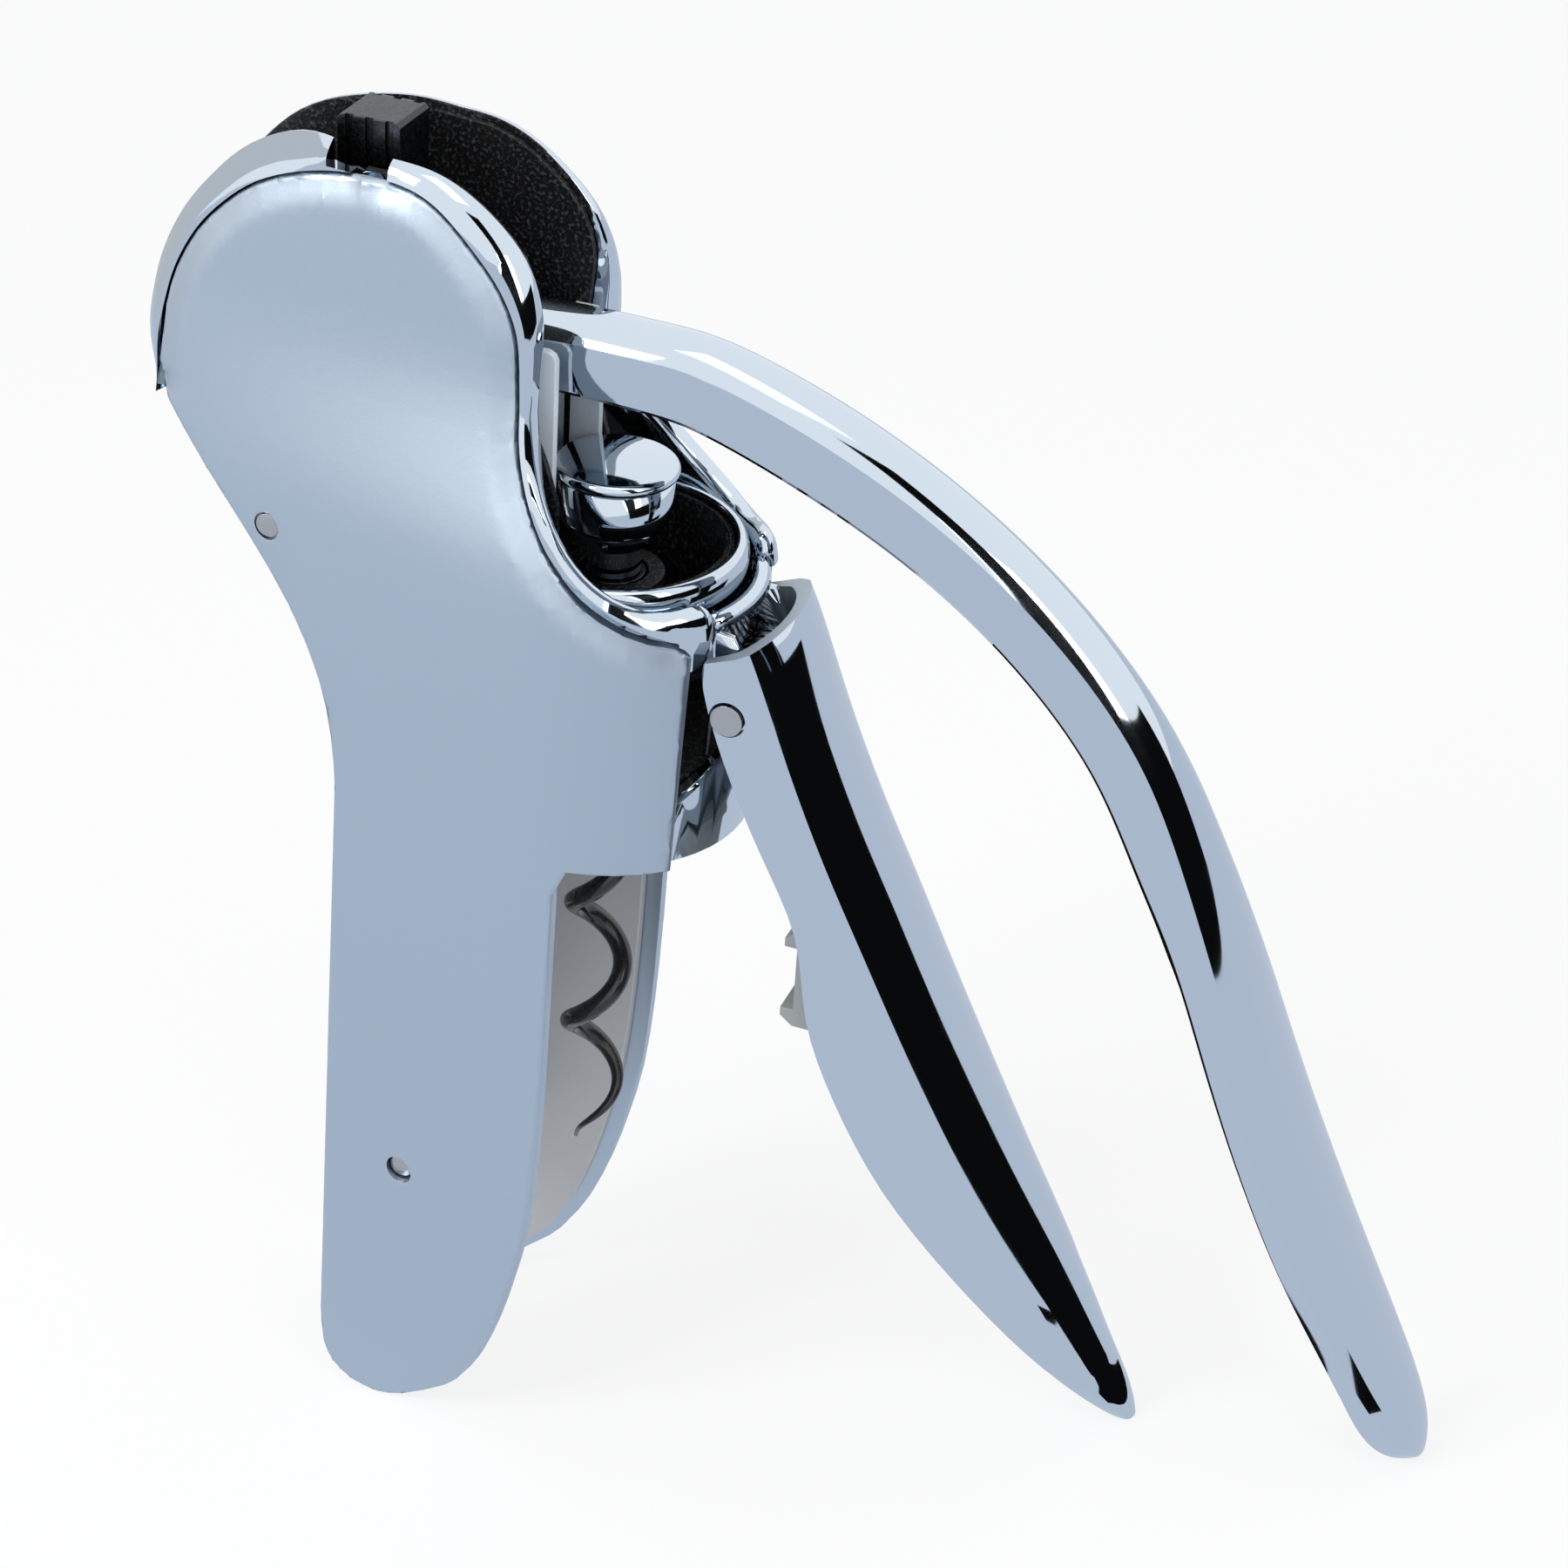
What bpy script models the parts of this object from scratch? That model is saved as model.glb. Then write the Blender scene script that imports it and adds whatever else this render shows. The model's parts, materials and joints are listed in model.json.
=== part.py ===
# Upright lever wine opener: two satin side covers over polished frame halves, a geared lever that
# lifts a rack with the worm, and a sprung grip that clamps the bottle's neck.
# Drawn in the body's own frame: Z along the barrel's axis, +X towards the handles, -Y the near side.
# The body leans on its legs, the grip's tip and the lever's tip, so one empty carries the lean.
from math import acos, atan2, cos, hypot, pi, radians, sin, sqrt, tan

import bmesh
import bpy
from mathutils import Matrix, Vector

mm = 0.001

# Stance
lean = radians(11.33)

# Fits
gap = 0.3 * mm
overrun = 5.0 * mm

# Barrel and side walls
barrel_radius = 21.5 * mm
wedge = radians(12)
barrel_bottom = 101.0 * mm
bore_wall = 4.3 * mm
bore_radius = barrel_radius - bore_wall
head_gap_half = 8.0 * mm
cover_wall = 2.2 * mm
cover_edge_round = 0.7 * mm
slice_round = 3.4 * mm

# The head is thinner than the barrel: half its thickness at the axis, its share lost towards the back,
# and the heights between which the side wall draws in
head_half = 15.7 * mm
head_taper_share = 0.112
draw_low = 138.0 * mm
draw_high = 165.0 * mm
draw_steps = 6
column_steps = 5

# Head outline: the groove between the satin cover and the polished rim, in shares of the head's width
# and height, then the rim's crest and inner edge in shares of its height, the crest's place across the
# rim and how far the flank bulges
head_left = -58.2 * mm
head_right = -7.1 * mm
head_low = 154.0 * mm
head_top = 182.8 * mm
groove_start_shares = (0.13, 0.065, 0.8, 0.3)
head_outline_shares = (
    (0.0, 0.0, 0.52, 0.48, 0.9, 0.2),
    (0.025, 0.208, 0.61, 0.565, 0.9, 0.2),
    (0.057, 0.382, 0.65, 0.61, 0.9, 0.2),
    (0.119, 0.573, 0.72, 0.67, 0.9, 0.2),
    (0.196, 0.722, 0.8, 0.76, 0.9, 0.2),
    (0.288, 0.851, 0.94, 0.91, 0.9, 0.2),
    (0.407, 0.944, 0.94, 0.91, 0.9, 0.25),
    (0.524, 0.99, 0.7, 0.66, 0.9, 0.3),
    (0.63, 1.0, 0.52, 0.48, 0.85, 0.3),
    (0.714, 0.983, 0.56, 0.52, 0.85, 0.3),
    (0.783, 0.924, 0.66, 0.62, 0.85, 0.3),
    (0.851, 0.819, 0.78, 0.74, 0.85, 0.35),
    (0.922, 0.691, 0.78, 0.72, 0.8, 0.45),
    (0.965, 0.563, 0.66, 0.5, 0.7, 0.6),
    (0.984, 0.451, 0.56, 0.26, 0.6, 0.8),
    (0.99, 0.306, 0.48, 0.1, 0.5, 1.0),
    (1.0, 0.14, 0.37, 0.0, 0.5, 1.0),
)
throat_radius = 25.0 * mm
weld_distance = 0.001 * mm
cut_distance = 0.01 * mm
throat_steps = 12
throat_ease = 2.6
throat_power = 1.17
lip_tail = 2.6 * mm
lip_groove = 132.8 * mm
groove_start = 148.0 * mm

# Side cover, below the head
cover_front_top = 18.6 * mm
cover_front_bottom = 17.3 * mm
neck_back = -31.1 * mm
neck_height = 101.5 * mm
neck_back_shares = (
    (1.0, 0.963),
    (0.938, 0.882),
    (0.719, 0.736),
    (0.471, 0.592),
    (0.248, 0.443),
    (0.088, 0.279),
    (0.02, 0.13),
    (0.0, 0.0),
)
leg_back = -34.3 * mm
leg_front = 2.1 * mm
leg_end = 2.6 * mm
leg_corner_shares = (
    (0.0, 0.108),
    (0.012, 0.048),
    (0.06, 0.016),
    (0.15, 0.0),
    (0.27, 0.0),
    (0.4, 0.02),
    (0.596, 0.075),
    (0.67, 0.11),
    (0.745, 0.157),
    (0.821, 0.234),
    (0.879, 0.315),
    (0.929, 0.405),
    (0.962, 0.528),
    (0.981, 0.675),
    (0.995, 0.88),
    (1.0, 0.965),
)
leg_fillet = 1.6 * mm

# Polished frame half
rim_start = 0.3 * mm
rim_height = 4.6 * mm
lip_height = 4.4 * mm
rim_wall = 3.0 * mm
lip_skirt = 5.0 * mm
rim_least_depth = 3.2 * mm
lip_drop = 3.4 * mm
lip_end = radians(61.0)
notch_left = -33.8 * mm
notch_right = -25.5 * mm
notch_floor = 182.9 * mm
collar_half_angle = radians(27.5)
collar_inset = 1.6 * mm
collar_rise = 1.9 * mm
ring_half_angle = radians(93)
ring_inner = 15.2 * mm
ring_top = 138.4 * mm
ring_bottom = 132.1 * mm
ring_round = 2.4 * mm
ring_flat = 0.5 * mm
sleeve_wall = 1.0 * mm
sleeve_bottom = 123.5 * mm
sleeve_drop = 0.8 * mm
inner_depth = cover_wall + gap

# Dark cast shell inside each half, with the boss for the lever's axle
shell_wall = 1.0 * mm
shell_gap_least = 5.8 * mm
shell_inset = 0.7 * mm
shell_bottom = 128.2 * mm
shell_front = -4.0 * mm
shell_back = -50.5 * mm
shell_back_inset = 2.0 * mm
boss_radius = 8.0 * mm
boss_half = 6.8 * mm

# Lever hinge, gear and rack
hinge_x = -32.0 * mm
hinge_z = 156.0 * mm
module = 1.6 * mm
gear_teeth = 23
sector_teeth = 12
rack_teeth = 10
pressure = radians(20)
dedendum_share = 1.25
backlash = 0.2 * mm
gear_half = 4.0 * mm
rack_half = 4.4 * mm
rack_back = 2.6 * mm
axle_radius = 4.0 * mm
axle_half = 8.5 * mm
bush_radius = 7.4 * mm
lug_half = 4.1 * mm
lug_height = 31.0 * mm
lug_centre = 0.5 * mm
lug_rib = 0.5 * mm
lug_rib_shares = (-0.62, 0.02, 0.66)
root_reach = 21.5 * mm
root_top = 11.2 * mm
root_low = 1.25 * mm
tongue_reach = 40.0 * mm
tongue_half = 2.2 * mm
tongue_depth = 2.4 * mm
guide_half = 7.7 * mm
guide_inner = 6.5 * mm
guide_front = -5.2 * mm
guide_back = -9.2 * mm
guide_bottom = 143.0 * mm
guide_top = 164.0 * mm

# Lever arm: reach along x and drop along z from the hinge, then half width and depth
lever_reach = 149.6 * mm
lever_drop = 124.6 * mm
arm_half = 5.2 * mm
arm_depth = 10.2 * mm
handle_start_share = 1.05
handle_span_share = 0.7
lever_shares = (
    (0.12, 0.0485, 1.0, 0.93),
    (0.187, 0.049, 1.0, 0.95),
    (0.247, 0.047, 1.0, 0.97),
    (0.3, 0.0405, 1.0, 1.0),
    (0.4, -0.0015, 1.0, 1.02),
    (0.5, -0.062, 1.0, 0.98),
    (0.592, -0.143, 1.02, 0.95),
    (0.67, -0.243, 1.12, 0.93),
    (0.721, -0.353, 1.45, 0.94),
    (0.764, -0.466, 1.8, 1.0),
    (0.818, -0.618, 1.96, 1.04),
    (0.88, -0.77, 1.94, 1.04),
    (0.943, -0.897, 1.66, 0.9),
    (0.978, -0.96, 1.2, 0.68),
    (0.993, -0.987, 0.72, 0.42),
    (1.0, -1.0, 0.3, 0.18),
)

# Carrier, spindle and worm
carrier_bottom = 123.0 * mm
carrier_height = 10.0 * mm
carrier_top = carrier_bottom + carrier_height
carrier_half = 6.5 * mm
bush_wall = 1.6 * mm
shank_radius = 2.2 * mm
stem_radius = 7.3 * mm
stem_neck = 3.5 * mm
stem_low = 6.4 * mm
stem_round = 3.6 * mm
stem_height = 11.2 * mm
stem_top = carrier_top + stem_height
knob_radius = 7.8 * mm
knob_height = 4.4 * mm
knob_top = stem_top + knob_height
knob_round = 1.4 * mm
clip_radius = 4.4 * mm
clip_thickness = 1.0 * mm
worm_radius = 3.55 * mm
wire_radius = 1.5 * mm
worm_pitch = 19.2 * mm
worm_tip = 44.6 * mm
worm_top = 118.0 * mm
worm_point = 0.35 * mm
worm_phase = radians(198)
worm_phase_height = 63.7 * mm
worm_points = 12
worm_sides = 8

# Nut and its housing
housing_rise = 0.6 * mm
housing_bottom = barrel_bottom + housing_rise
housing_top = 112.0 * mm
nut_radius = 7.6 * mm
nut_bore = 5.7 * mm
nut_height = 5.4 * mm
nut_ring_wall = 1.2 * mm
nut_ring_height = 0.9 * mm

# Barrel liner and its front window
liner_top = 127.4 * mm
window_half_angle = radians(39)
window_side = 109.0 * mm
window_rise = 5.5 * mm

# Grip
pin_inset = 1.3 * mm
pin_x = barrel_radius - pin_inset
pin_z = 122.5 * mm
pin_radius = 2.1 * mm
pin_half = 11.9 * mm
grip_half = 11.5 * mm
grip_wall = 1.6 * mm
grip_length = 108.95 * mm
grip_top_tilt = 3.1 * mm
grip_tilt_share = 0.14
grip_span = 63.4 * mm
grip_low = 23.65 * mm
grip_back = 16.8 * mm
nose_depth = 5.0 * mm
grip_shares = (
    (1.0, 0.125, 0.0, 1.0),
    (0.965, 0.16, 0.0, 1.0),
    (0.86, 0.226, 0.045, 1.0),
    (0.745, 0.314, 0.137, 1.0),
    (0.645, 0.402, 0.226, 1.0),
    (0.53, 0.502, 0.255, 0.98),
    (0.425, 0.598, 0.325, 0.94),
    (0.305, 0.713, 0.44, 0.86),
    (0.195, 0.826, 0.6, 0.74),
    (0.095, 0.92, 0.77, 0.56),
    (0.03, 0.982, 0.905, 0.34),
    (0.0, 1.0, 0.965, 0.14),
)
hollow_points = 9
ear_half_outer = 7.8 * mm
ear_half_inner = 6.3 * mm
ear_round = 3.4 * mm
ear_top = 131.5 * mm
ear_overlap = 1.8 * mm
ear_root = bore_radius - ear_overlap
jaw_half = 9.2 * mm
jaw_top = 93.0 * mm
jaw_bottom = 78.5 * mm
jaw_face = 30.6 * mm
jaw_ridge = 1.7 * mm
jaw_ridge_height = 2.6 * mm

# Grip spring
spring_radius = 4.55 * mm
spring_wire = 0.45 * mm
spring_pitch = 1.6 * mm
spring_turns = 6
spring_points = 10
spring_sides = 6
spring_arm = 9.6 * mm

# Rivets, cross pin, linings, saddle and back plate
rivet_place_share = (0.572, 0.642)
rivet_inset = 5.6 * mm
rivet_x = neck_back + (head_left - neck_back) * rivet_place_share[0] + rivet_inset
rivet_z = neck_height + (head_low - neck_height) * rivet_place_share[1]
rivet_radius = 1.55 * mm
rivet_recess = 0.25 * mm
leg_pin_inset = 13.7 * mm
leg_pin_rise = 41.7 * mm
leg_pin_x = leg_back + leg_pin_inset
leg_pin_z = leg_end + leg_pin_rise
leg_pin_radius = 1.7 * mm
leg_pin_recess = 1.1 * mm
lining_wall = 1.8 * mm
lining_inset = 2.4 * mm
lining_top = 100.2 * mm
saddle_front = -16.5 * mm
saddle_back = -26.5 * mm
saddle_top = 60.0 * mm
saddle_bottom = 36.0 * mm
plate_wall = 1.8 * mm
plate_inset = 1.2 * mm
plate_drop = 2.2 * mm
plate_top = shell_bottom - plate_drop
plate_bottom = 62.0 * mm

pitch_radius = module * gear_teeth / 2
tooth_pitch = pi * module
dedendum = dedendum_share * module
tip_radius = pitch_radius + module
root_radius = pitch_radius - dedendum
rack_line = hinge_x + pitch_radius


for old in list(bpy.data.objects):
    bpy.data.objects.remove(old, do_unlink=True)


def material(name, colour, roughness, metallic):
    made = bpy.data.materials.new(name)
    made.use_nodes = True
    shader = made.node_tree.nodes["Principled BSDF"]
    shader.inputs["Base Color"].default_value = (*colour, 1.0)
    shader.inputs["Roughness"].default_value = roughness
    shader.inputs["Metallic"].default_value = metallic
    return made


polished = material("polished_chrome", (0.86, 0.88, 0.9), 0.06, 1.0)
satin = material("satin_chrome", (0.62, 0.69, 0.76), 0.34, 1.0)
inner_steel = material("inner_steel", (0.62, 0.6, 0.57), 0.5, 0.6)
dark_cast = material("dark_cast", (0.03, 0.03, 0.032), 0.5, 0.3)
black_steel = material("black_coated_steel", (0.02, 0.02, 0.022), 0.3, 0.2)
steel = material("steel", (0.55, 0.55, 0.55), 0.3, 1.0)
brass = material("brass", (0.7, 0.52, 0.22), 0.35, 1.0)
grey_plastic = material("grey_plastic", (0.42, 0.44, 0.44), 0.55, 0.0)


def empty(name, place, parent=None):
    made = bpy.data.objects.new(name, None)
    made.location = place
    made.parent = parent
    bpy.context.scene.collection.objects.link(made)
    return made


body = empty("body_frame", (0, 0, 0))
body.rotation_euler = (0, lean, 0)
lever_pivot = empty("lever_pivot", (hinge_x, 0, hinge_z), body)
grip_pivot = empty("grip_pivot", (pin_x, 0, pin_z), body)


def make(name, bm, finish, parent=body, sharp=radians(35)):
    """Turns a bmesh in the body's frame into a named object under its parent empty."""
    bmesh.ops.remove_doubles(bm, verts=bm.verts, dist=weld_distance)
    bmesh.ops.recalc_face_normals(bm, faces=bm.faces)
    mesh = bpy.data.meshes.new(name)
    bm.to_mesh(mesh)
    bm.free()
    if parent is not body:
        mesh.transform(Matrix.Translation(-parent.location))
    mesh.shade_smooth()
    mesh.set_sharp_from_angle(angle=sharp)
    mesh.materials.append(finish)
    made = bpy.data.objects.new(name, mesh)
    made.parent = parent
    bpy.context.scene.collection.objects.link(made)
    return made


def cutter(name, bm, parent=body):
    made = make(name, bm, dark_cast, parent)
    made.hide_render = True
    made.display_type = "WIRE"
    return made


def boolean(piece, other, operation="DIFFERENCE"):
    step = piece.modifiers.new(other.name, "BOOLEAN")
    step.operation = operation
    step.solver = "EXACT"
    step.object = other


def smooth_curve(points, parts):
    """Catmull-Rom curve through the points, with so many parts between each two."""
    found = []
    last = len(points) - 1
    for i in range(last):
        p = [points[max(i - 1, 0)], points[i], points[i + 1], points[min(i + 2, last)]]
        for k in range(parts):
            t = k / parts
            weights = (
                (-t + 2 * t**2 - t**3) / 2,
                (2 - 5 * t**2 + 3 * t**3) / 2,
                (t + 4 * t**2 - 3 * t**3) / 2,
                (t**3 - t**2) / 2,
            )
            found.append(tuple(sum(w * q[j] for w, q in zip(weights, p)) for j in range(len(p[0]))))
    found.append(tuple(points[-1]))
    return found


def smooth_step(value):
    value = min(max(value, 0), 1)
    return value * value * (3 - 2 * value)


def add_loft(bm, rings, closed_path=False):
    """Skins rings of points with quads and closes the two ends."""
    loops = [[bm.verts.new(p) for p in ring] for ring in rings]
    count = len(loops[0])
    pairs = list(zip(loops, loops[1:]))
    if closed_path:
        pairs.append((loops[-1], loops[0]))
    for one, two in pairs:
        for i in range(count):
            j = (i + 1) % count
            bm.faces.new((one[i], one[j], two[j], two[i]))
    if not closed_path:
        bm.faces.new(loops[0])
        bm.faces.new(reversed(loops[-1]))


def loft(rings, closed_path=False):
    bm = bmesh.new()
    add_loft(bm, rings, closed_path)
    return bm


def prism(outline, low, high):
    """Solid of an outline in XZ between two values of y."""
    return loft([[(x, y, z) for x, z in outline] for y in (low, high)])


def turned(profile, sides=48):
    """Closed solid turned about Z from (radius, z) points; points on the axis make a pole."""
    bm = bmesh.new()
    rings = []
    for r, z in profile:
        if r:
            turns = [2 * pi * k / sides for k in range(sides)]
            rings.append([bm.verts.new((r * cos(t), r * sin(t), z)) for t in turns])
        else:
            rings.append([bm.verts.new((0, 0, z))])
    for one, two in zip(rings, rings[1:] + rings[:1]):
        if len(one) == len(two) == 1:
            continue
        for i in range(sides):
            j = (i + 1) % sides
            corners = [one[i % len(one)], one[j % len(one)], two[j % len(two)], two[i % len(two)]]
            bm.faces.new(list(dict.fromkeys(corners)))
    return bm


def cross_cylinder(radius, x, z, low, high, inner=0, sides=32):
    """Solid or ring about an axis along Y."""
    profile = [(radius, low), (radius, high), (inner, high), (inner, low)]
    bm = turned(profile, sides=sides)
    bmesh.ops.rotate(bm, verts=bm.verts, matrix=Matrix.Rotation(-pi / 2, 3, "X"))
    bmesh.ops.translate(bm, verts=bm.verts, vec=(x, 0, z))
    return bm


def mirrored(bm):
    """The far side's copy of a near-side bmesh."""
    copy = bm.copy()
    bmesh.ops.scale(copy, verts=copy.verts, vec=(1, -1, 1))
    bmesh.ops.reverse_faces(copy, faces=copy.faces)
    return copy


def thin_half(x):
    """Half the head's thickness at x, where the side wall has drawn in."""
    return head_half + head_taper_share * min(x, 0)


def wall_half(x, z):
    """Half the body's thickness: the barrel's circle, then flat sides that close towards the back."""
    x = min(x, 0)
    if x > -barrel_radius * sin(wedge):
        half = sqrt(barrel_radius**2 - x * x)
    else:
        half = (barrel_radius + x * sin(wedge)) / cos(wedge)
    return half - (half - thin_half(x)) * smooth_step((z - draw_low) / (draw_high - draw_low))


def wall_point(a, z, depth):
    """Near side wall: arc position a along the plan, height z, depth inwards from its outer face."""
    if a <= 0:
        return Vector((a, depth - wall_half(a, z), z))
    angle = a / barrel_radius
    radius = wall_half(0, z) - depth
    return Vector((radius * sin(angle), -radius * cos(angle), z))


def shell_half(x):
    """Half the space between the two dark shells at x."""
    drawn = thin_half(x) - rim_least_depth - shell_wall - gap
    return max(min(head_gap_half, drawn), shell_gap_least)


def shell_point(a, z, depth):
    """Inner face of the near dark shell at depth zero, its outer face at minus its wall."""
    return Vector((a, depth - shell_half(a), z))


def wall_plate(outline, outer, inner, edge=0, place_point=wall_point):
    """Plate that follows the side wall or another drawn surface, from an outline in (a, z)."""
    bm = loft([[(a, depth, z) for a, z in outline] for depth in (outer, inner)])
    bmesh.ops.recalc_face_normals(bm, faces=bm.faces)
    if edge:
        rim = [e for e in bm.edges if all(abs(v.co.y - outer) < gap / 10 for v in e.verts)]
        bmesh.ops.bevel(
            bm, geom=rim, offset=edge, segments=2, affect="EDGES", profile=0.5, material=-1,
            clamp_overlap=True,
        )
    high = max(v.co.x for v in bm.verts)
    columns = [-barrel_radius * sin(wedge), shell_back]
    columns += [head_left * k / column_steps for k in range(1, column_steps)]
    for half in (head_gap_half, shell_gap_least):
        columns.append((half + rim_least_depth + shell_wall + gap - head_half) / head_taper_share)
    place = 0
    while place < high:
        columns.append(place)
        place += slice_round
    rows = [draw_low + (draw_high - draw_low) * k / draw_steps for k in range(draw_steps + 1)]
    cuts = [((place, 0, 0), (1, 0, 0)) for place in columns]
    cuts += [((0, 0, place), (0, 0, 1)) for place in rows]
    for place, normal in cuts:
        everything = list(bm.verts) + list(bm.edges) + list(bm.faces)
        bmesh.ops.bisect_plane(bm, geom=everything, plane_co=place, plane_no=normal, dist=cut_distance)
    bmesh.ops.triangulate(bm, faces=list(bm.faces))
    for v in bm.verts:
        v.co = place_point(v.co.x, v.co.z, v.co.y)
    return bm


def pair(name, bm, finish):
    """Near and far pieces from one near-side bmesh."""
    far = mirrored(bm)
    return make("near_" + name, bm, finish), make("far_" + name, far, finish)


def groove_path():
    """Groove stations, from the head's back to the lip: place, outward normal, turn of the throat, rim shares."""
    width = head_right - head_left
    height = head_top - head_low
    points = [(head_left + gap, groove_start) + groove_start_shares]
    points += [(head_left + row[0] * width, head_low + row[1] * height) + row[2:] for row in head_outline_shares]
    path = smooth_curve(points, 2)
    shares = path[-1][2:]
    centre = (head_right + throat_radius, lip_groove + throat_radius)
    path[-1] = (head_right, path[-1][1]) + shares
    for k in range(throat_steps + 1):
        across = max(cos(pi / 2 * k / throat_steps), 0) ** throat_power
        down = sin(pi / 2 * k / throat_steps) ** throat_power
        path.append((centre[0] - throat_radius * across, centre[1] - throat_radius * down) + shares)
    path.append((barrel_radius * lip_end - lip_tail, lip_groove) + shares)
    stations = []
    for i, here in enumerate(path):
        before = path[max(i - 1, 0)]
        after = path[min(i + 1, len(path) - 1)]
        along = Vector((after[0] - before[0], after[1] - before[1])).normalized()
        turn = min(max(i - (len(path) - 2 - throat_steps), 0) / throat_steps, 1)
        stations.append((here[0], here[1], -along[1], along[0], turn, here[2:]))
    return stations


def rim_section(crest, edge, place, bulge, wall, depth):
    """Closed section in (outward, depth): up the flank, over the crest, down to the inner edge and back."""
    points = []
    middle = depth * place
    for k in range(4):
        t = pi / 2 * k / 3
        up = k / 3 + (sin(t) - k / 3) * bulge
        deep = k / 3 + (1 - cos(t) - k / 3) * bulge
        points.append((rim_start + (crest - rim_start) * up, gap + (middle - gap) * deep))
    for k in range(1, 4):
        t = pi / 2 * k / 3
        points.append((edge + (crest - edge) * cos(t), middle + (depth - middle) * sin(t)))
    points += [(-wall, depth), (-wall, inner_depth + gap / 3), (rim_start, inner_depth + gap / 3)]
    return points


def lip_section():
    return rim_section(lip_height, lip_height - lip_drop, 0.5, 1, lip_skirt, bore_wall)


def rim_half(x):
    """Half the space between the two rims: close together over the head's back, outside the shells elsewhere."""
    close = shell_gap_least + gap
    wide = shell_half(x) + shell_wall + gap
    return close + (wide - close) * smooth_step((x - notch_left) / rim_wall + 1)


def rim_depth(a, z, turn):
    """Depth of the frame half's inner face, which follows the barrel's bore along the throat."""
    depth = max(wall_half(a, z) - rim_half(min(a, 0)), rim_least_depth)
    return depth + (bore_wall - depth) * smooth_step(turn * throat_ease)


def frame_half():
    """Polished rim that runs from the head's back over its top and down the throat into the lip."""
    rings = []
    for a, z, na, nz, turn, (crest, edge, place, bulge) in groove_path():
        grow = turn * turn
        crest = max(crest * rim_height, rim_start * 2) * (1 - grow) + lip_height * grow
        edge = edge * rim_height * (1 - grow) + (lip_height - lip_drop) * grow
        wall = rim_wall * (1 - grow) + lip_skirt * grow
        inner = rim_depth(a, z, turn)
        ring = []
        for n, depth in rim_section(crest, edge, place, bulge, wall, inner):
            local = rim_depth(a + n * na, z + n * nz, turn) / inner
            ring.append(wall_point(a + n * na, z + n * nz, depth * local))
        rings.append(ring)
    middle = (lip_height - lip_skirt) / 2
    for share in (0.35, 0.65, 0.87, 1.0):
        end = barrel_radius * lip_end - lip_tail * (1 - share)
        size = sqrt(1 - 0.85 * share**2)
        ring = []
        for n, depth in lip_section():
            across = bore_wall / 2 + (depth - bore_wall / 2) * size
            ring.append(wall_point(end, lip_groove + middle + (n - middle) * size, across))
        rings.append(ring)
    return loft(rings)


def cover_outline():
    """Satin cover in (a, z), from the lip along the groove, down the back, round the leg and up the front."""
    groove = [row[:2] for row in reversed(groove_path())]
    front = [(cover_front_bottom, barrel_bottom), (cover_front_top, lip_groove - cover_edge_round * 2)]
    groove = [p for p in groove if p[0] < cover_front_top - cover_edge_round]
    width = head_left - neck_back
    height = head_low - neck_height
    back = [(neck_back + u * width, neck_height + v * height) for u, v in neck_back_shares]
    span = leg_front - leg_back
    rise = barrel_bottom - leg_end
    leg = [(leg_back + u * span, leg_end + v * rise) for u, v in leg_corner_shares]
    outline = groove[:-4] + smooth_curve(back, 2) + smooth_curve(leg, 2)
    outline.append((leg_front + leg_fillet, barrel_bottom))
    return outline + front


def lining_outline():
    """Lining of the leg: the leg's outline drawn in."""
    span = leg_front - leg_back - 2 * lining_inset
    rise = barrel_bottom - leg_end - lining_inset
    leg = [(leg_back + lining_inset + u * span, leg_end + lining_inset + v * rise) for u, v in leg_corner_shares]
    leg = [p for p in leg if p[1] < lining_top - lining_inset]
    return smooth_curve(leg, 2) + [(leg[-1][0], lining_top), (neck_back + lining_inset, lining_top)]


def back_place(z):
    """Where the neck's back outline lies at a height."""
    rows = [(neck_height + v * (head_low - neck_height), u) for u, v in neck_back_shares]
    for (high, far), (low, close) in zip(rows, rows[1:]):
        if low <= z <= high:
            share = close + (far - close) * (z - low) / (high - low)
            return neck_back + share * (head_left - neck_back)
    return neck_back


def shell_outline():
    """Dark shell in (x, z): just inside the rim's inner edge, the throat's side, the bottom and the back."""
    edge = []
    for a, z, na, nz, turn, shares in groove_path()[1:]:
        if turn < 0.3:
            outside = a > notch_left + rim_wall
            n = shares[1] * rim_height - shell_inset if outside else -rim_wall - gap
            edge.append((max(a + n * na, shell_back), z + n * nz))
    held = [p for p in edge if p[0] > shell_back]
    first = edge[edge.index(held[0]) - 1]
    outline = [first] + held
    outline += [(shell_front, edge[-1][1] - lip_skirt), (shell_front, shell_bottom)]
    steps = 4
    for k in range(steps + 1):
        z = shell_bottom + (groove_start - shell_bottom) * k / steps
        x = back_place(z) + shell_back_inset
        if x > shell_back:
            outline.append((x, z))
    return outline + [(shell_back, groove_start)]


def gear_angle(radius):
    """Half the angle of a tooth at a radius, from the involute of the base circle."""
    base = pitch_radius * cos(pressure)
    turn = acos(min(base / radius, 1))
    at_pitch = pi / (2 * gear_teeth) - backlash / (4 * pitch_radius)
    return at_pitch + (tan(pressure) - pressure) - (tan(turn) - turn)


def tooth(centre):
    """One tooth's outline, from its lower root to its upper root, turned up by centre."""
    base = max(pitch_radius * cos(pressure), root_radius)
    radii = (base, pitch_radius - module / 3, pitch_radius + module / 3, tip_radius)
    foot = gear_angle(base)
    low = [(root_radius, centre - foot)] + [(r, centre - gear_angle(r)) for r in radii]
    return low + [(r, 2 * centre - t) for r, t in reversed(low)]


def polar(points):
    return [(hinge_x + r * cos(t), hinge_z + r * sin(t)) for r, t in points]


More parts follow.
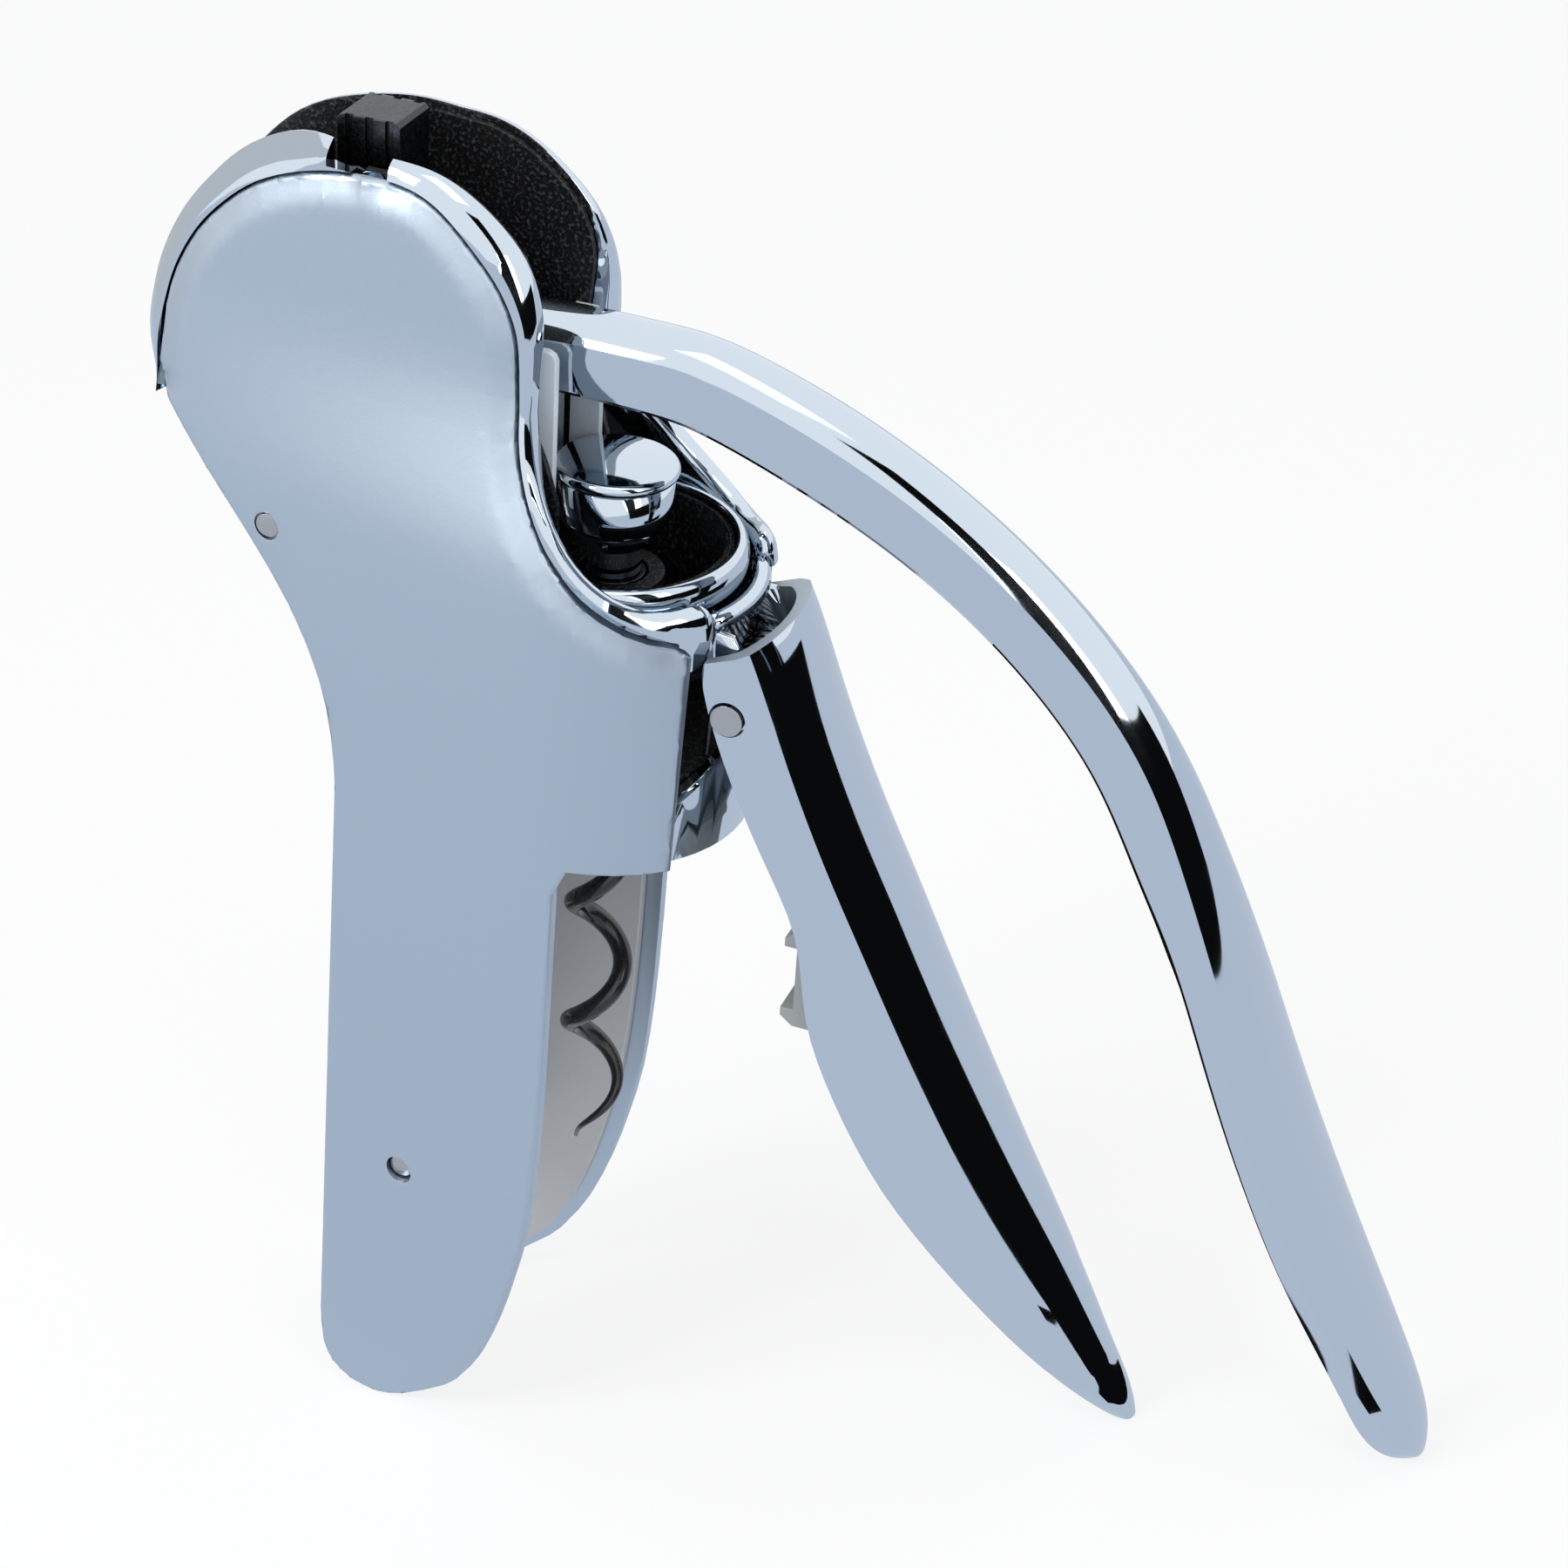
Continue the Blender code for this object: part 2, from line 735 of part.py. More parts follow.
def gear_sector():
    """Toothed sector with the lug on top and the arm's root."""
    step = 2 * pi / gear_teeth
    outline = []
    for k in reversed(range(1, sector_teeth)):
        outline += polar(tooth(-k * step))
    first = tooth(0)
    outline += polar(first[:5])
    near = hinge_x + tip_radius + gap
    outline += [(near, hinge_z + root_low), (hinge_x + sqrt(root_reach**2 - root_low**2), hinge_z + root_low)]
    start = atan2(root_low, root_reach)
    end = atan2(root_top, root_reach)
    outline += polar([(root_reach, start + (end - start) * k / 3) for k in (1, 2, 3)])
    outline += polar([(root_reach * 0.86, radians(42))])
    right = hinge_x + lug_centre + lug_half
    left = hinge_x + lug_centre - lug_half
    top = hinge_z + lug_height
    outline += [(right, hinge_z + root_radius), (right, top - lug_rib), (right - lug_rib, top)]
    outline += [(left + lug_rib, top), (left, top - lug_rib), (left, hinge_z + root_radius)]
    last = -(sector_teeth - 1) * step - gear_angle(root_radius + module / 2) + 2 * pi
    start = atan2(root_radius, lug_centre - lug_half)
    outline += polar([(root_radius, start + (last - start) * k / 5) for k in (1, 2, 3, 4)])
    sector = make("gear_sector", prism(outline, -gear_half, gear_half), steel, lever_pivot)
    bore = cross_cylinder(axle_radius + gap, hinge_x, hinge_z, -gear_half - overrun, gear_half + overrun)
    boolean(sector, cutter("sector_bore", bore, lever_pivot))
    for share in lug_rib_shares:
        x = hinge_x + lug_centre + lug_half * share
        for side in (-1, 1):
            rib = [(x - lug_rib, hinge_z + root_radius), (x + lug_rib, hinge_z + root_radius),
                   (x + lug_rib, hinge_z + 2 * lug_height), (x - lug_rib, hinge_z + 2 * lug_height)]
            cut = prism(rib, side * (gear_half - lug_rib), side * (gear_half + overrun))
            boolean(sector, cutter("lug_rib_%d" % round(side * x / mm), cut, lever_pivot))
    middle = hinge_z + (root_top + root_low) / 2
    tongue = [
        (hinge_x + root_reach - overrun, middle - tongue_depth),
        (hinge_x + tongue_reach, middle - tongue_depth),
        (hinge_x + tongue_reach, middle + tongue_depth),
        (hinge_x + root_reach - overrun, middle + tongue_depth),
    ]
    boolean(sector, cutter("sector_tongue", prism(tongue, -tongue_half, tongue_half), lever_pivot), "UNION")
    return sector


def rack():
    """Toothed bar whose teeth face the gear, in mesh with it at rest."""
    half_tip = tooth_pitch / 4 - module * tan(pressure) - backlash / 4
    half_root = tooth_pitch / 4 + dedendum * tan(pressure) - backlash / 4
    root = rack_line + dedendum
    tip = rack_line - module
    outline = [(root, hinge_z + root_low - gap * 2)]
    count = rack_teeth
    for k in range(count):
        middle = hinge_z - (k + 0.5) * tooth_pitch
        outline += [(root, middle + half_root), (tip, middle + half_tip)]
        outline += [(tip, middle - half_tip), (root, middle - half_root)]
    back = root + rack_back
    outline += [(root, hinge_z - count * tooth_pitch), (back, hinge_z - count * tooth_pitch)]
    outline.append((back, hinge_z + root_low - gap * 2))
    return make("rack", prism(outline, -rack_half, rack_half), steel)


def arm_section(half, depth, flat):
    """Section across the lever in (sideways, up): flat flanks under a rounded top, oval in the handle."""
    points = []
    for k in range(9):
        t = pi * k / 8
        points.append((half * cos(t), depth * (0.05 + 0.45 * sin(t))))
    low = 5
    for k in range(1, low + 1):
        t = pi * k / (low + 1)
        power = 2 / (2 + 6 * flat)
        side = -cos(t)
        down = sin(t)
        sideways = half * (abs(side) ** power) * (1 if side > 0 else -1)
        points.append((sideways, depth * (0.05 - 0.55 * down**power)))
    return points


def lever():
    """Curved arm that widens into a leaf-shaped handle, with a slot for the sector's tongue."""
    table = [(hinge_x + a * lever_reach, hinge_z + b * lever_drop, c, d) for a, b, c, d in lever_shares]
    stations = smooth_curve(table, 2)
    rings = []
    for i, (x, z, wide, deep) in enumerate(stations):
        before = stations[max(i - 1, 0)]
        after = stations[min(i + 1, len(stations) - 1)]
        along = Vector((after[0] - before[0], after[1] - before[1])).normalized()
        flat = 1 - smooth_step((wide - handle_start_share) / handle_span_share)
        ring = []
        for side, up in arm_section(arm_half * wide, arm_depth * deep, flat):
            ring.append((x - along[1] * up, -side, z + along[0] * up))
        rings.append(ring)
    arm = make("lever_arm", loft(rings), polished, lever_pivot, radians(50))
    round_end = cross_cylinder(root_reach + gap, hinge_x, hinge_z, -grip_half, grip_half, sides=72)
    boolean(arm, cutter("arm_end", round_end, lever_pivot))
    middle = hinge_z + (root_top + root_low) / 2
    low = middle - tongue_depth - gap
    high = middle + tongue_depth + gap
    slot = [(hinge_x, low), (hinge_x + tongue_reach + gap, low), (hinge_x + tongue_reach + gap, high), (hinge_x, high)]
    boolean(arm, cutter("arm_slot", prism(slot, -tongue_half - gap, tongue_half + gap), lever_pivot))
    return arm


def head_pieces():
    """Polished rims, then the dark shells with their bosses, rivet holes and the notch on the near side."""
    frames = pair("frame", frame_half(), polished)
    plate = wall_plate(shell_outline(), -shell_wall, 0, place_point=shell_point)
    shells = pair("shell", plate, dark_cast)
    circle = [2 * pi * k / 48 for k in range(48)]
    round_boss = [(hinge_x + boss_radius * cos(t), hinge_z + boss_radius * sin(t)) for t in circle]
    foot = [(x, inner_depth - wall_half(x, z), z) for x, z in round_boss]
    boss = loft([foot, [(x, -boss_half, z) for x, z in round_boss]])
    blind = cross_cylinder(axle_radius + gap, hinge_x, hinge_z, -axle_half - gap, 0)
    hole = cross_cylinder(rivet_radius + gap, rivet_x, rivet_z, -barrel_radius, 0)
    for shell, copy in zip(shells, (lambda bm: bm, mirrored)):
        for name, bm, operation in (
            ("boss", boss, "UNION"),
            ("blind", blind, "DIFFERENCE"),
            ("rivet_hole", hole, "DIFFERENCE"),
        ):
            boolean(shell, cutter(shell.name[:4] + "_" + name, copy(bm.copy())), operation)
    outline = [
        (notch_left, notch_floor),
        (notch_right, notch_floor),
        (notch_right, head_top + 2 * rim_height),
        (notch_left, head_top + 2 * rim_height),
    ]
    notch = cutter("near_notch", prism(outline, -barrel_radius, 0))
    boolean(frames[0], notch)
    boolean(shells[0], notch)


def covers():
    stock = wall_plate(cover_outline(), 0, cover_wall, cover_edge_round)
    pieces = pair("cover", stock, satin)
    lining = wall_plate(lining_outline(), inner_depth, inner_depth + lining_wall)
    linings = pair("lining", lining, inner_steel)
    rivets = (
        ("rivet", rivet_radius, rivet_x, rivet_z, pieces),
        ("leg_pin", leg_pin_radius, leg_pin_x, leg_pin_z, pieces + linings),
    )
    for name, radius, x, z, touched in rivets:
        hole = cross_cylinder(radius + gap, x, z, -2 * barrel_radius, 2 * barrel_radius)
        tool = cutter(name + "_hole", hole)
        for piece in touched:
            boolean(piece, tool)
    outer = -wall_half(rivet_x, rivet_z) + rivet_recess
    pair("rivet", cross_cylinder(rivet_radius, rivet_x, rivet_z, outer, -shell_half(rivet_x) - gap), steel)
    end = wall_half(leg_pin_x, leg_pin_z) - leg_pin_recess
    make("lower_cross_pin", cross_cylinder(leg_pin_radius, leg_pin_x, leg_pin_z, -end, end), steel)


def saddle():
    """Rear rest for the bottle's neck, carried by the lower cross pin."""
    half = wall_half(saddle_back, saddle_top) - inner_depth - lining_wall - gap
    outline = [
        (saddle_back, saddle_bottom),
        (saddle_front, saddle_bottom),
        (saddle_front, saddle_top),
        (saddle_back, saddle_top),
    ]
    piece = make("neck_saddle", prism(outline, -half, half), grey_plastic)
    bore = cross_cylinder(leg_pin_radius + gap, leg_pin_x - gap, leg_pin_z, -2 * half, 2 * half)
    boolean(piece, cutter("saddle_bore", bore))
    neck = turned([(0, saddle_bottom - overrun), (bore_radius, saddle_bottom - overrun),
                   (bore_radius, saddle_top + overrun), (0, saddle_top + overrun)])
    boolean(piece, cutter("saddle_neck", neck))


def back_plate():
    """Strip that closes the back of the neck and barrel between the covers."""
    width = head_left - neck_back
    height = head_low - neck_height
    back = [(neck_back + u * width, neck_height + v * height) for u, v in neck_back_shares]
    path = [p for p in smooth_curve(back, 2) if p[1] < plate_top]
    lower = 4
    path += [(neck_back, neck_height + (plate_bottom - neck_height) * k / lower) for k in range(1, lower + 1)]
    rings = []
    for x, z in path:
        start = x + plate_inset
        half = wall_half(start, z) - inner_depth - lining_wall - gap
        inner = start + plate_wall
        rings.append([(start, -half, z), (inner, -half, z), (inner, half, z), (start, half, z)])
    make("back_plate", loft(rings), inner_steel)


def small_head_parts():
    make("lever_axle", cross_cylinder(axle_radius, hinge_x, hinge_z, -axle_half, axle_half), steel)
    ring = cross_cylinder(bush_radius, hinge_x, hinge_z, -boss_half + gap, -gear_half - gap,
                          axle_radius + gap)
    pair("hub_bush", ring, brass)
    corner = guide_half - guide_inner
    outline = [
        (guide_back, guide_bottom),
        (guide_front, guide_bottom),
        (guide_front, guide_top - corner),
        (guide_front - corner / 3, guide_top - corner / 3),
        (guide_front - corner, guide_top),
        (guide_back, guide_top),
    ]
    pair("guide_cheek", prism(outline, -guide_half, -guide_inner), satin)


def barrel_parts():
    tube = [
        (barrel_radius - inner_depth, barrel_bottom),
        (barrel_radius - inner_depth, liner_top),
        (bore_radius, liner_top),
        (bore_radius, barrel_bottom),
    ]
    liner = make("barrel_liner", turned(tube), polished)
    half = barrel_radius * sin(window_half_angle) * 0.9
    steps = 8
    arch = []
    for k in range(steps + 1):
        y = -half + 2 * half * k / steps
        arch.append((y, window_side + window_rise * cos(pi / 2 * y / half)))
    arch += [(half, liner_top + overrun), (-half, liner_top + overrun)]
    window = loft([[(x, y, z) for y, z in arch] for x in (bore_radius / 2, 2 * barrel_radius)])
    boolean(liner, cutter("liner_window", window))
    housing_radius = bore_radius - gap
    seat = housing_top - nut_height - nut_ring_height - gap
    profile = [
        (housing_radius, housing_bottom),
        (housing_radius, housing_top),
        (nut_radius + gap, housing_top),
        (nut_radius + gap, seat),
        (nut_bore + gap, seat),
        (nut_bore + gap, housing_bottom),
    ]
    housing = make("nut_housing", turned(profile), dark_cast)
    slot_half = rack_half + gap
    slot_front = rack_line + dedendum + rack_back + gap
    slot = [
        (-2 * bore_radius, housing_bottom - overrun),
        (slot_front, housing_bottom - overrun),
        (slot_front, housing_top + overrun),
        (-2 * bore_radius, housing_top + overrun),
    ]
    boolean(housing, cutter("housing_slot", prism(slot, -slot_half, slot_half)))
    nut = [
        (nut_radius, seat + gap),
        (nut_radius, seat + nut_height),
        (nut_bore, seat + nut_height),
        (nut_bore, seat + gap),
    ]
    make("worm_nut", turned(nut, sides=32), brass)
    ring_low = seat + nut_height + gap
    ring = [
        (nut_radius, ring_low),
        (nut_radius, ring_low + nut_ring_height),
        (nut_radius - nut_ring_wall, ring_low + nut_ring_height),
        (nut_radius - nut_ring_wall, ring_low),
    ]
    make("nut_ring", turned(ring, sides=32), steel)


def carrier_parts():
    """Carrier that holds the rack and the spindle, with the bush, clip, stem and knob."""
    back = rack_line + dedendum + rack_back + gap
    cheek = rack_line + dedendum + gap
    outline = []
    for k in range(17):
        t = -pi / 2 + pi * k / 16
        outline.append((carrier_half * cos(t), carrier_half * sin(t)))
    outline += [(cheek, carrier_half), (cheek, rack_half + gap), (back, rack_half + gap)]
    outline += [(back, -rack_half - gap), (cheek, -rack_half - gap), (cheek, -carrier_half)]
    rings = [[(x, y, z) for x, y in outline] for z in (carrier_bottom, carrier_top)]
    carrier = make("carrier", loft(rings), dark_cast)
    outer = shank_radius + gap + bush_wall
    hole = turned([(0, carrier_bottom - overrun), (outer + gap, carrier_bottom - overrun),
                   (outer + gap, carrier_top + overrun), (0, carrier_top + overrun)], sides=32)
    boolean(carrier, cutter("carrier_bore", hole))
    inner = shank_radius + gap
    bush = [(outer, carrier_bottom), (outer, carrier_top), (inner, carrier_top), (inner, carrier_bottom)]
    make("spindle_bush", turned(bush, sides=32), brass)
    clip_top = carrier_bottom - gap
    clip = [
        (clip_radius, clip_top - clip_thickness),
        (clip_radius, clip_top),
        (inner, clip_top),
        (inner, clip_top - clip_thickness),
    ]
    make("spindle_clip", turned(clip, sides=32), steel)
    low = carrier_top + gap
    blind = low + 3 * knob_round
    stem = [(inner, low), (stem_neck, low)]
    for k in range(6):
        t = pi / 2 * k / 5
        reach = stem_neck + (stem_radius - stem_neck) * sin(t)
        stem.append((reach, low + stem_low + stem_round * (1 - cos(t))))
    stem += [(stem_radius, stem_top), (0, stem_top), (0, blind), (inner, blind)]
    make("knob_stem", turned(stem), polished)
    base = stem_top + gap
    cap = [(0, base), (knob_radius - knob_round / 2, base), (knob_radius, base + knob_round / 2)]
    for k in range(5):
        t = pi / 2 * k / 4
        edge = knob_radius - knob_round * (1 - cos(t))
        cap.append((edge, knob_top - knob_round * 1.4 + knob_round * sin(t)))
    cap += [(knob_radius / 2, knob_top - knob_round * 0.1), (0, knob_top)]
    make("knob_cap", turned(cap), polished)


def tube(path, radii, sides):
    """Tube along points, its rings turned along the path without twist."""
    rings = []
    side = None
    for i, here in enumerate(path):
        along = (path[min(i + 1, len(path) - 1)] - path[max(i - 1, 0)]).normalized()
        if side is None:
            side = along.orthogonal().normalized()
        side = (side - along * side.dot(along)).normalized()
        up = along.cross(side)
        ring = []
        for k in range(sides):
            t = 2 * pi * k / sides
            ring.append(here + radii[i] * (cos(t) * side + sin(t) * up))
        rings.append(ring)
    return loft(rings)


def worm():
    """Black steel helix with a drawn-out point, and its straight shank into the stem."""
    turns = (worm_top - worm_tip) / worm_pitch
    count = round(turns * worm_points)
    path = []
    radii = []
    for k in range(count + 1):
        z = worm_tip + (worm_top - worm_tip) * k / count
        angle = worm_phase + 2 * pi * (z - worm_phase_height) / worm_pitch
        draw = smooth_step(k / (0.5 * worm_points))
        near_top = smooth_step((worm_top - z) / (0.25 * worm_pitch))
        reach = worm_radius * (0.55 + 0.45 * draw) * near_top
        path.append(Vector((reach * cos(angle), reach * sin(angle), z)))
        radii.append(worm_point + (wire_radius - worm_point) * smooth_step(k / worm_points))
    shank_end = carrier_top + gap + 2.5 * knob_round
    for z in (carrier_bottom - 2 * knob_round, shank_end):
        path.append(Vector((0, 0, z)))
        radii.append(shank_radius)
    make("worm", tube(path, radii, worm_sides), black_steel, sharp=radians(60))


def collar():
    """Front of the lip between the two frame halves, with the ears that hold the grip's pin."""
    rings = []
    middle = barrel_radius * pi / 2
    reach = barrel_radius * collar_half_angle
    steps = 10
    for k in range(steps + 1):
        a = middle + reach * (2 * k / steps - 1)
        ring = []
        for n, depth in lip_section():
            across = bore_wall + (depth - bore_wall) * (1 - collar_inset / bore_wall)
            rise = n * collar_rise / lip_height if n > 0 else n
            ring.append(wall_point(a, lip_groove + rise, across))
        rings.append(ring)
    piece = make("front_collar", loft(rings), polished)
    arc = []
    for k in range(9):
        t = -pi * 0.75 + pi * k / 8
        arc.append((pin_x + ear_round * cos(t), pin_z + ear_round * sin(t)))
    outline = arc + [(barrel_radius - inner_depth, ear_top), (ear_root, ear_top), (ear_root, pin_z)]
    for side, low, high in (
        ("near", -ear_half_outer, -ear_half_inner),
        ("far", ear_half_inner, ear_half_outer),
    ):
        boolean(piece, cutter(side + "_ear", prism(outline, low, high)), "UNION")
    hole = cross_cylinder(pin_radius + gap, pin_x, pin_z, -grip_half, grip_half)
    boolean(piece, cutter("ear_hole", hole))


def mouth_ring():
    """Rounded ring inside the lip, with a dark sleeve below it, both open at the back for the rack."""
    outer = bore_radius - gap
    section = [(ring_inner, ring_bottom), (outer, ring_bottom)]
    middle = ring_inner + ring_flat
    steps = 5
    for k in range(steps + 1):
        t = pi / 2 * k / steps
        section.append((middle + (outer - middle) * cos(t), ring_top - ring_round * (1 - sin(t))))
    section.append((ring_inner, ring_top - ring_flat / 2))
    high = ring_top - sleeve_drop
    sleeve = [
        (ring_inner - gap - sleeve_wall, sleeve_bottom),
        (ring_inner - gap, sleeve_bottom),
        (ring_inner - gap, high),
        (ring_inner - gap - sleeve_wall, high),
    ]
    for name, profile, finish in (("mouth_ring", section, polished), ("mouth_sleeve", sleeve, dark_cast)):
        rings = []
        steps = 40
        for k in range(steps + 1):
            t = ring_half_angle * (2 * k / steps - 1)
            rings.append([(r * cos(t), r * sin(t), z) for r, z in profile])
        make(name, loft(rings), finish)


def grip_stations():
    rows = []
    for height, front, back, wide in smooth_curve(grip_shares, 2):
        z = grip_low + height * grip_length
        rows.append((z, grip_back + front * grip_span, grip_back + back * grip_span, grip_half * wide))
    return rows


def grip_ring(z, front, back, half, wall=0):
    """Channel section: straight flanges, then a rounded nose; near the top it slopes down to the back."""
    side = half - wall
    nose = max(front - wall - min(nose_depth, (front - back) / 2), back)
    points = [(back, -side), (nose, -side)]
    steps = 8
    for k in range(1, steps):
        t = -pi / 2 + pi * k / steps
        points.append((nose + (front - wall - nose) * cos(t), side * sin(t)))
    points += [(nose, side), (back, side)]
    share = (z - grip_low) / grip_length
    slope = grip_top_tilt * smooth_step(1 - (1 - share) / grip_tilt_share) / (front - back)
    return [(x, y, z - (front - x) * slope) for x, y in points]


def grip():
    """Sprung clamp handle, a channel hinged at the barrel's front."""
    rows = grip_stations()
    piece = make("grip_handle", loft([grip_ring(*row) for row in rows]), polished, grip_pivot, radians(45))
    inside = []
    for z, front, back, half in rows[: 2 * hollow_points]:
        inside.append(grip_ring(z, front, back - overrun, half, grip_wall))
    top = [(x, y, z + overrun) for x, y, z in inside[0]]
    boolean(piece, cutter("grip_hollow", loft([top] + inside), grip_pivot))
    hole = cross_cylinder(pin_radius + gap, pin_x, pin_z, -2 * grip_half, 2 * grip_half)
    boolean(piece, cutter("grip_hole", hole, grip_pivot))
    make("grip_pin", cross_cylinder(pin_radius, pin_x, pin_z, -pin_half, pin_half), steel)


def jaw_pad():
    """Ridged plastic pad in the grip's channel that bears on the bottle's neck."""
    rows = grip_stations()

    def front_at(z):
        for upper, lower in zip(rows, rows[1:]):
            if upper[0] >= z >= lower[0]:
                share = (z - lower[0]) / (upper[0] - lower[0])
                return lower[1] + (upper[1] - lower[1]) * share - grip_wall - nose_depth
        return rows[0][1]

    ridge = jaw_ridge_height
    outline = [
        (jaw_face, jaw_bottom),
        (jaw_face - jaw_ridge, jaw_bottom + ridge / 2),
        (jaw_face - jaw_ridge, jaw_bottom + ridge),
        (jaw_face, jaw_bottom + ridge),
        (jaw_face, jaw_top - ridge),
        (jaw_face - jaw_ridge, jaw_top - ridge),
        (jaw_face - jaw_ridge, jaw_top - ridge / 2),
        (jaw_face, jaw_top),
        (front_at(jaw_top), jaw_top),
        (front_at(jaw_bottom), jaw_bottom),
    ]
    make("jaw_pad", prism(outline, -jaw_half, jaw_half), grey_plastic, grip_pivot)


def least_gap(points, radius, near):
    """Least distance between the tube's surface and itself, past the points that follow each other."""
    found = None
    for i, one in enumerate(points):
        for two in points[i + near :]:
            apart = (one - two).length - 2 * radius
            found = apart if found is None else min(found, apart)
    return found


def grip_spring():
    """Torsion spring wound round the grip's pin, one arm on the barrel and one towards the grip."""
    start = -spring_turns * spring_pitch / 2
    count = spring_turns * spring_points + spring_points // 2
    side = start - spring_pitch / 3
    rest = sqrt((bore_radius - spring_wire - gap) ** 2 - side**2)
    path = [Vector((rest, side, pin_z - spring_arm))]
    for k in range(count + 1):
        t = pi + 2 * pi * k / spring_points
        y = start + spring_pitch * k / spring_points
        path.append(Vector((pin_x + spring_radius * cos(t), y, pin_z - spring_radius * sin(t))))
    end = path[-1]
    path.append(Vector((end.x + spring_wire, end.y + spring_pitch / 3, pin_z - spring_arm)))
    apart = least_gap(path, spring_wire, spring_points // 2)
    print("grip spring: least gap to itself %.2f mm" % (apart / mm))
    make("grip_spring", tube(path, [spring_wire] * len(path), spring_sides), steel, sharp=radians(60))


head_pieces()
covers()
saddle()
back_plate()
small_head_parts()
gear_sector()
lever()
rack()
barrel_parts()
carrier_parts()
worm()
collar()
mouth_ring()
grip()
jaw_pad()
grip_spring()

bpy.context.view_layer.update()
shown = [o for o in bpy.data.objects if o.type == "MESH" and not o.hide_render]
corners = [o.matrix_world @ v.co for o in shown for v in o.data.vertices]
body.location.x = -(min(p.x for p in corners) + max(p.x for p in corners)) / 2
body.location.z = -min(p.z for p in corners)
bpy.context.view_layer.update()
print("body frame stands at x %.4f mm, z %.4f mm" % (body.location.x / mm, body.location.z / mm))
for name in ("near_cover", "far_cover", "grip_handle", "lever_arm"):
    foot = bpy.data.objects[name]
    lowest = min((foot.matrix_world @ v.co).z for v in foot.data.vertices)
    print("%s: lowest point %.2f mm" % (name, lowest / mm))
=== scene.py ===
import json
import math

import bmesh
import bpy
from mathutils import Euler, Matrix, Vector
from mathutils.bvhtree import BVHTree
from mathutils.kdtree import KDTree

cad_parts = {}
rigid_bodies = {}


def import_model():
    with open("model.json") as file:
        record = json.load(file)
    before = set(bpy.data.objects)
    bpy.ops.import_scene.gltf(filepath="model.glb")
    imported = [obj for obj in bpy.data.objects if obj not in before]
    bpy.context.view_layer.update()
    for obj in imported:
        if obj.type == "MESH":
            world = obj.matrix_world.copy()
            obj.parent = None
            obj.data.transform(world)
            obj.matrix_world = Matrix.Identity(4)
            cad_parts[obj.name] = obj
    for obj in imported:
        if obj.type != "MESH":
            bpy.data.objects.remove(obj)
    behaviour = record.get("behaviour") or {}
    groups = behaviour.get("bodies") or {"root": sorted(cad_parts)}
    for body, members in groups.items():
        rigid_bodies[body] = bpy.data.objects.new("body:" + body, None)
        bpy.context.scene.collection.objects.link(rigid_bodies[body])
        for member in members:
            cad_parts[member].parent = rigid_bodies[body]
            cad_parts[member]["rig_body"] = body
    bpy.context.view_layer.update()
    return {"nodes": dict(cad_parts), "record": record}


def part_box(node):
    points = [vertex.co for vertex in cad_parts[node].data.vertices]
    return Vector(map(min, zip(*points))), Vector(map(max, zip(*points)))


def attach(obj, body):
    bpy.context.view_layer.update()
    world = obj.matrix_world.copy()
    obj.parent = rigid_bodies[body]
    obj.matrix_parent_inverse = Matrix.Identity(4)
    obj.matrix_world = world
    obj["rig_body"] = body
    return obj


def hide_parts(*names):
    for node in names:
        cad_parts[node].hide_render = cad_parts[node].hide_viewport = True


mm = 0.001
weldDistance = 0.002 * mm
cutDistance = 0.01 * mm

for old in list(bpy.data.objects):
    bpy.data.objects.remove(old, do_unlink=True)
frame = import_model()
nodes = frame["nodes"]
slotOf = {row["node"]: row["material_slot"] for row in frame["record"]["subparts"]}
print("frame loaded:", len(nodes), "nodes")

# camera fitted to the photograph: turn in degrees, all else in mm
camera = {
    "place": (159.345, -353.980, 296.968),
    "turn": (62.156, 7.123, 20.551),
    "lens": 79.96,
    "sensor": 36,
    "clipStart": 20,
    "clipEnd": 20000,
}


def makeCamera():
    data = bpy.data.cameras.new("camera")
    data.lens = camera["lens"]
    data.sensor_width = camera["sensor"]
    data.clip_start = camera["clipStart"] * mm
    data.clip_end = camera["clipEnd"] * mm
    seen = bpy.data.objects.new("camera", data)
    seen.location = Vector(camera["place"]) * mm
    seen.rotation_euler = Euler([math.radians(a) for a in camera["turn"]])
    bpy.context.scene.collection.objects.link(seen)
    bpy.context.scene.camera = seen


makeCamera()
print("camera set")


# sRGB colour code to the linear colour that a shader takes
def linear(hexCode):
    channels = [int(hexCode[i : i + 2], 16) / 255 for i in (1, 3, 5)]
    return tuple(c / 12.92 if c <= 0.04045 else ((c + 0.055) / 1.055) ** 2.4 for c in channels) + (1,)


# settings name a socket of the node, by name or number, or else one of its properties
def addNode(tree, kind, settings=None, links=None):
    node = tree.nodes.new(kind)
    for name, value in (settings or {}).items():
        if isinstance(name, int) or name in node.inputs:
            node.inputs[name].default_value = value
        else:
            setattr(node, name, value)
    for name, source in (links or {}).items():
        tree.links.new(source, node.inputs[name])
    return node


def newMaterial(name, look):
    material = bpy.data.materials.new(name)
    material.use_nodes = True
    tree = material.node_tree
    shader = tree.nodes["Principled BSDF"]
    shader.inputs["Base Color"].default_value = linear(look["colour"])
    shader.inputs["Metallic"].default_value = look.get("metallic", 0)
    shader.inputs["Roughness"].default_value = look["roughness"]
    if "coat" in look:
        shader.inputs["Coat Weight"].default_value = look["coat"]
        shader.inputs["Coat Roughness"].default_value = look["coatRoughness"]
    addGrain(tree, shader, look)
    return material


# the noise behind every grain, and the part of its range that a spread of roughness uses
grain = {"detail": 2.0, "roughness": 0.55, "low": 0.3, "high": 0.7}


